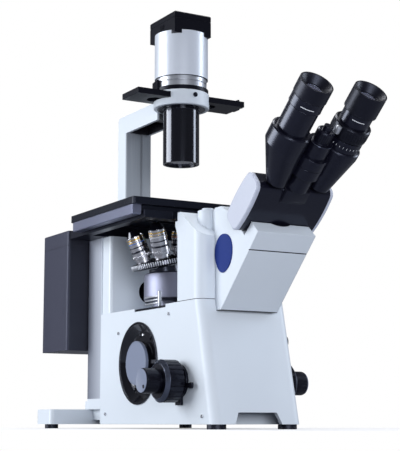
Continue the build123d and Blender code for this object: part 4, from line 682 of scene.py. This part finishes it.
# %% Pivot knob
pivot = head @ Matrix.Translation((0, -9.5 * MM, 0))
bars(24, 10.3, (1.0, 1.2, 12.0), at=116.5)
settle("pivot_flutes", pivot, knob_plastic, "stand")
hoop(15.0, 0.5, 0.5, at=107.6)
settle("pivot_line", pivot, satin_edge, "stand")
print("pivot knob dressed")

# %% [markdown]
# Each coarse knob has a bright bevel towards the user, made as a short cone whose skin
# is thickened. The fine knob in front of it ends in a slate-grey disc with a dimple for
# one finger.

# %% Focus knobs
KNOB_DEPTH, KNOB_HEIGHT = 83, 60
dimple = Matrix.Translation((6.5 * MM, -7.5 * MM, 0))
for side, name in SIDES:
    place = wall(side, KNOB_DEPTH, KNOB_HEIGHT)
    clear()
    bpy.ops.mesh.primitive_cone_add(
        vertices=96,
        radius1=26.9 * MM,
        radius2=22.3 * MM,
        depth=4.6 * MM,
        end_fill_type="NOTHING",
        location=(0, 0, 96.05 * MM),
    )
    skin = bpy.context.object.modifiers.new("skin", "SOLIDIFY")
    skin.thickness = 0.4 * MM
    skin.offset = 1.0
    bpy.ops.object.modifier_apply(modifier=skin.name)
    settle(name + "_knob_bevel", place, satin_edge, "coarse")
    button(14.9, 0.7, at=120.9, inset=0.08, push=-0.2)
    settle(name + "_fine_disc", place, slate_paint, "fine")
    button(2.4, 0.5, at=121.3, inset=0.3, push=-0.25)
    settle(name + "_fine_dimple", place @ dimple, satin_black, "fine")
    bars(24, 15.6, (0.5, 1.0, 18.0), at=109.5)
    settle(name + "_fine_grip", place, knob_plastic, "fine")
print("knobs dressed")

# %% [markdown]
# Three bright screws hold each port's dish. A thin lip runs round it and round its cap,
# and eight ribs stand on its floor.

# %% Side ports
PORT_DEPTH, PORT_HEIGHT = 200.5, 87.5
SCREW_CIRCLE = 38.6
for side, name in SIDES:
    port = wall(side, PORT_DEPTH, PORT_HEIGHT)
    for k, angle in enumerate((90, -30, 210)):
        button(1.9, 1.2, at=57.4, inset=0.4, push=-0.5, sides=24)
        turn = Matrix.Rotation(math.radians(angle), 4, "Z")
        place = port @ turn @ Matrix.Translation((SCREW_CIRCLE * MM, 0, 0))
        settle(f"{name}_port_screw_{k}", place, bright_steel, "stand")
    hoop(28.6, 0.8, 0.6, at=68.9, steps=96)
    settle(name + "_cap_lip", port, slate_paint, "stand")
    hoop(55.2, 1.0, 0.6, at=66.5, steps=96)
    settle(name + "_port_lip", port, satin_black, "stand")
    bars(8, 40.5, (9.0, 1.2, 1.0), at=58.3, start=12)
    settle(name + "_port_ribs", port, satin_black, "stand")
print("ports dressed")

# %% [markdown]
# A few small black pieces finish the lamp and the head: the screw that clamps the
# collar, the lining under it, the dark seam below the lamp, and a plate at the pivot.

# %% Collar, lamp seam and pivot plate
SCREW_HEIGHT = 459.7
button(3.4, 1.2, at=40.2, inset=0.3, push=-0.3, sides=32)
screw_place = (0, axis_y, SCREW_HEIGHT * MM)
to_user = frame_of((1, 0, 0), (0, 0, 1), (0, -1, 0), screw_place)
settle("collar_screw", to_user, satin_black, "stand")
light_axis = Matrix.Translation((0, axis_y, 0))
hoop(30.3, 8.5, 0.6, at=446.2, steps=96)
settle("collar_lining", light_axis, satin_black, "stand")
hoop(37.0, 1.8, 1.4, at=488.5, steps=96)
settle("lamp_seam", light_axis, satin_black, "stand")
ladder((34.0, 1.8, 17.0), at=(0, -18.7, 28.4))
settle("pivot_plate", head, satin_black, "stand")
print("collar and pivot dressed")

# %% [markdown]
# Objectives are turned from brass and plated. Each has a knurled grip near its foot, two
# dark lines, a coloured code line and a gilt one above it. The knurl is a ring of small
# bars. Heights are shares of the objective's length, because the six differ in it.

# %% Objectives
FULL_LENGTH, FULL_RADIUS, FOOT = 50.5, 13.0, 2
lengths = (0.86, 1.0, 0.94, 0.9, 1.0, 0.8)
widths = (1.0, 0.92, 1.0, 0.85, 0.92, 1.0)
codes = [
    coat("code_" + name, colour, 0.35, 0.0005, 0.02)
    for name, colour in (
        ("red", (0.5, 0.03, 0.02)),
        ("yellow", (0.7, 0.5, 0.04)),
        ("green", (0.03, 0.3, 0.06)),
        ("blue", (0.03, 0.12, 0.5)),
        ("white", (0.7, 0.7, 0.72)),
        ("orange", (0.7, 0.2, 0.03)),
    )
]
for k, (length, width, code) in enumerate(zip(lengths, widths, codes)):
    long, wide = FULL_LENGTH * length, FULL_RADIUS * width
    rings = (
        ("code", 0.62, 0.5, 0.9, code, "bright_metal"),
        ("line", 0.5, 0.5, 1.6, satin_black, "bright_metal"),
        ("band_low", 0.36, 0.5, 2.6, satin_black, "bright_metal"),
        ("gilt", 0.67, 0.6, 0.8, gold_ring, "gold"),
    )
    for ring, share, thick, height, finish, slot in rings:
        hoop(wide, thick, height, at=FOOT + long * share)
        settle(f"objective_{ring}_{k}", seat(k), finish, "nosepiece")
    bars(40, wide, (0.7, 0.9, 5.0), at=FOOT + long * 0.12 + 3.4)
    settle(f"objective_knurl_{k}", seat(k), lens_chrome, "nosepiece")
bars(84, 44.2, (1.0, 1.5, 6.4))
settle("turret_knurl", turret_place, bezel_silver, "nosepiece")
print("objectives dressed:", len(codes))

# %% [markdown]
# In front of the focusing drum stands a small slotted bracket: a post with three bars.

# %% Drum bracket
from_front = Matrix.Translation((0, front, 0))
ladder((2.6, 41.0, 2.4), at=(-51.0, 187.0, 167.6), count=3, step=(0, 0, 4.6))
settle("bracket_bars", from_front, bezel_silver, "stand")
ladder((4.2, 4.6, 22.5), at=(-51.2, 166.6, 172.0))
settle("bracket_post", from_front, bezel_silver, "stand")
print("bracket done")

# %% [markdown]
# The bench is a pale sheet that reaches far behind the instrument. To the camera it
# fades to plain white a little way off, and near the feet it keeps part of its shadow.
# To every other ray it is a darker grey, so that it doesn't light the object from below.

# %% Bench
FADE_STARTS, FADE_SPAN = 0.30, 0.25
GLOW_NEAR, GLOW_GAIN = 0.35, 0.65
clear()
bpy.ops.mesh.primitive_plane_add(size=24, location=(0, 0, 0))
floor = bpy.context.object
floor.name = "floor"
paper = Finish("paper")
grain = paper.noise(0.004)
paper_tint = paper.blend(grain, (0.80, 0.80, 0.82, 1), (0.84, 0.84, 0.86, 1))
glow = paper.node("Emission", values={"Color": (1, 1, 1, 1), "Strength": 1.0})
seen = paper.node("LightPath", out=0)
paper_tint = paper.blend(seen, (0.30, 0.31, 0.34, 1), paper_tint)
sheet = paper.node("BsdfDiffuse", values={"Color": paper_tint, "Roughness": 0.5})
spread = paper.node("VectorMath", {"operation": "LENGTH"}, {0: paper.spot()}, out=1)
far = ((spread - FADE_STARTS) / FADE_SPAN).clamp()
share = seen * (GLOW_NEAR + far * GLOW_GAIN)
plain = paper.node("MixShader", values={0: share, 1: sheet, 2: glow})
paper.node("OutputMaterial", values={"Surface": plain})
floor.data.materials.append(paper.owner)
print("bench fades from", FADE_STARTS, "m")

# %% [markdown]
# To the camera, and through the lenses, the background is plain white. For everything
# else the world is a dim bluish room.

# %% Room
room = Finish("studio", bpy.data.worlds.new)
bpy.context.scene.world = room.owner
dim = room.node("Background", values={"Color": (0.86, 0.89, 1.0, 1), "Strength": 0.13})
white = room.node("Background", values={"Color": (1, 1, 1, 1)})
looked_at = room.node("LightPath", out="Is Camera Ray")
looked_through = room.node("LightPath", out="Is Transmission Ray")
plainly_white = (looked_at + looked_through).clamp()
mix = room.node("MixShader", values={0: plainly_white, 1: dim, 2: white})
room.node("OutputWorld", values={"Surface": mix})
print("room ready")

# %% [markdown]
# The light itself comes from large soft lamps, as in a product studio: in front, on both
# sides and above. The left one stands a little behind and draws a bright edge down every
# round black part.


# %% Lamps
def softbox(name, place, aim, size, power, colour=(1, 1, 1)):
    """A rectangular lamp at a place, turned to what it lights, that no camera sees."""
    data = bpy.data.lights.new(name, "AREA")
    data.shape = "RECTANGLE"
    data.size, data.size_y = size
    data.energy = power
    data.color = colour
    lamp = bpy.data.objects.new(name, data)
    bpy.context.scene.collection.objects.link(lamp)
    lamp.location = place
    lamp.rotation_mode = "QUATERNION"
    lamp.rotation_quaternion = (Vector(aim) - Vector(place)).to_track_quat("-Z", "Y")
    lamp.visible_camera = False


MIDDLE = (0.0, 0.0, 0.28)
softbox("left_side", (-1.60, 0.84, 0.56), (0.0, 0.0, 0.20), (1.2, 1.2), 41, (0.94, 0.97, 1.0))
softbox("front", (-0.50, -1.60, 0.30), (0.0, -0.1, 0.22), (0.9, 0.5), 17, (0.92, 0.95, 1.0))
softbox("right_side", (1.5, -0.6, 0.8), MIDDLE, (0.5, 1.2), 14, (0.84, 0.91, 1.0))
softbox("overhead", (0.1, 0.2, 1.9), MIDDLE, (1.0, 1.0), 22)
bpy.context.scene.view_settings.view_transform = "Standard"
print("lamps:", len(bpy.data.lights))
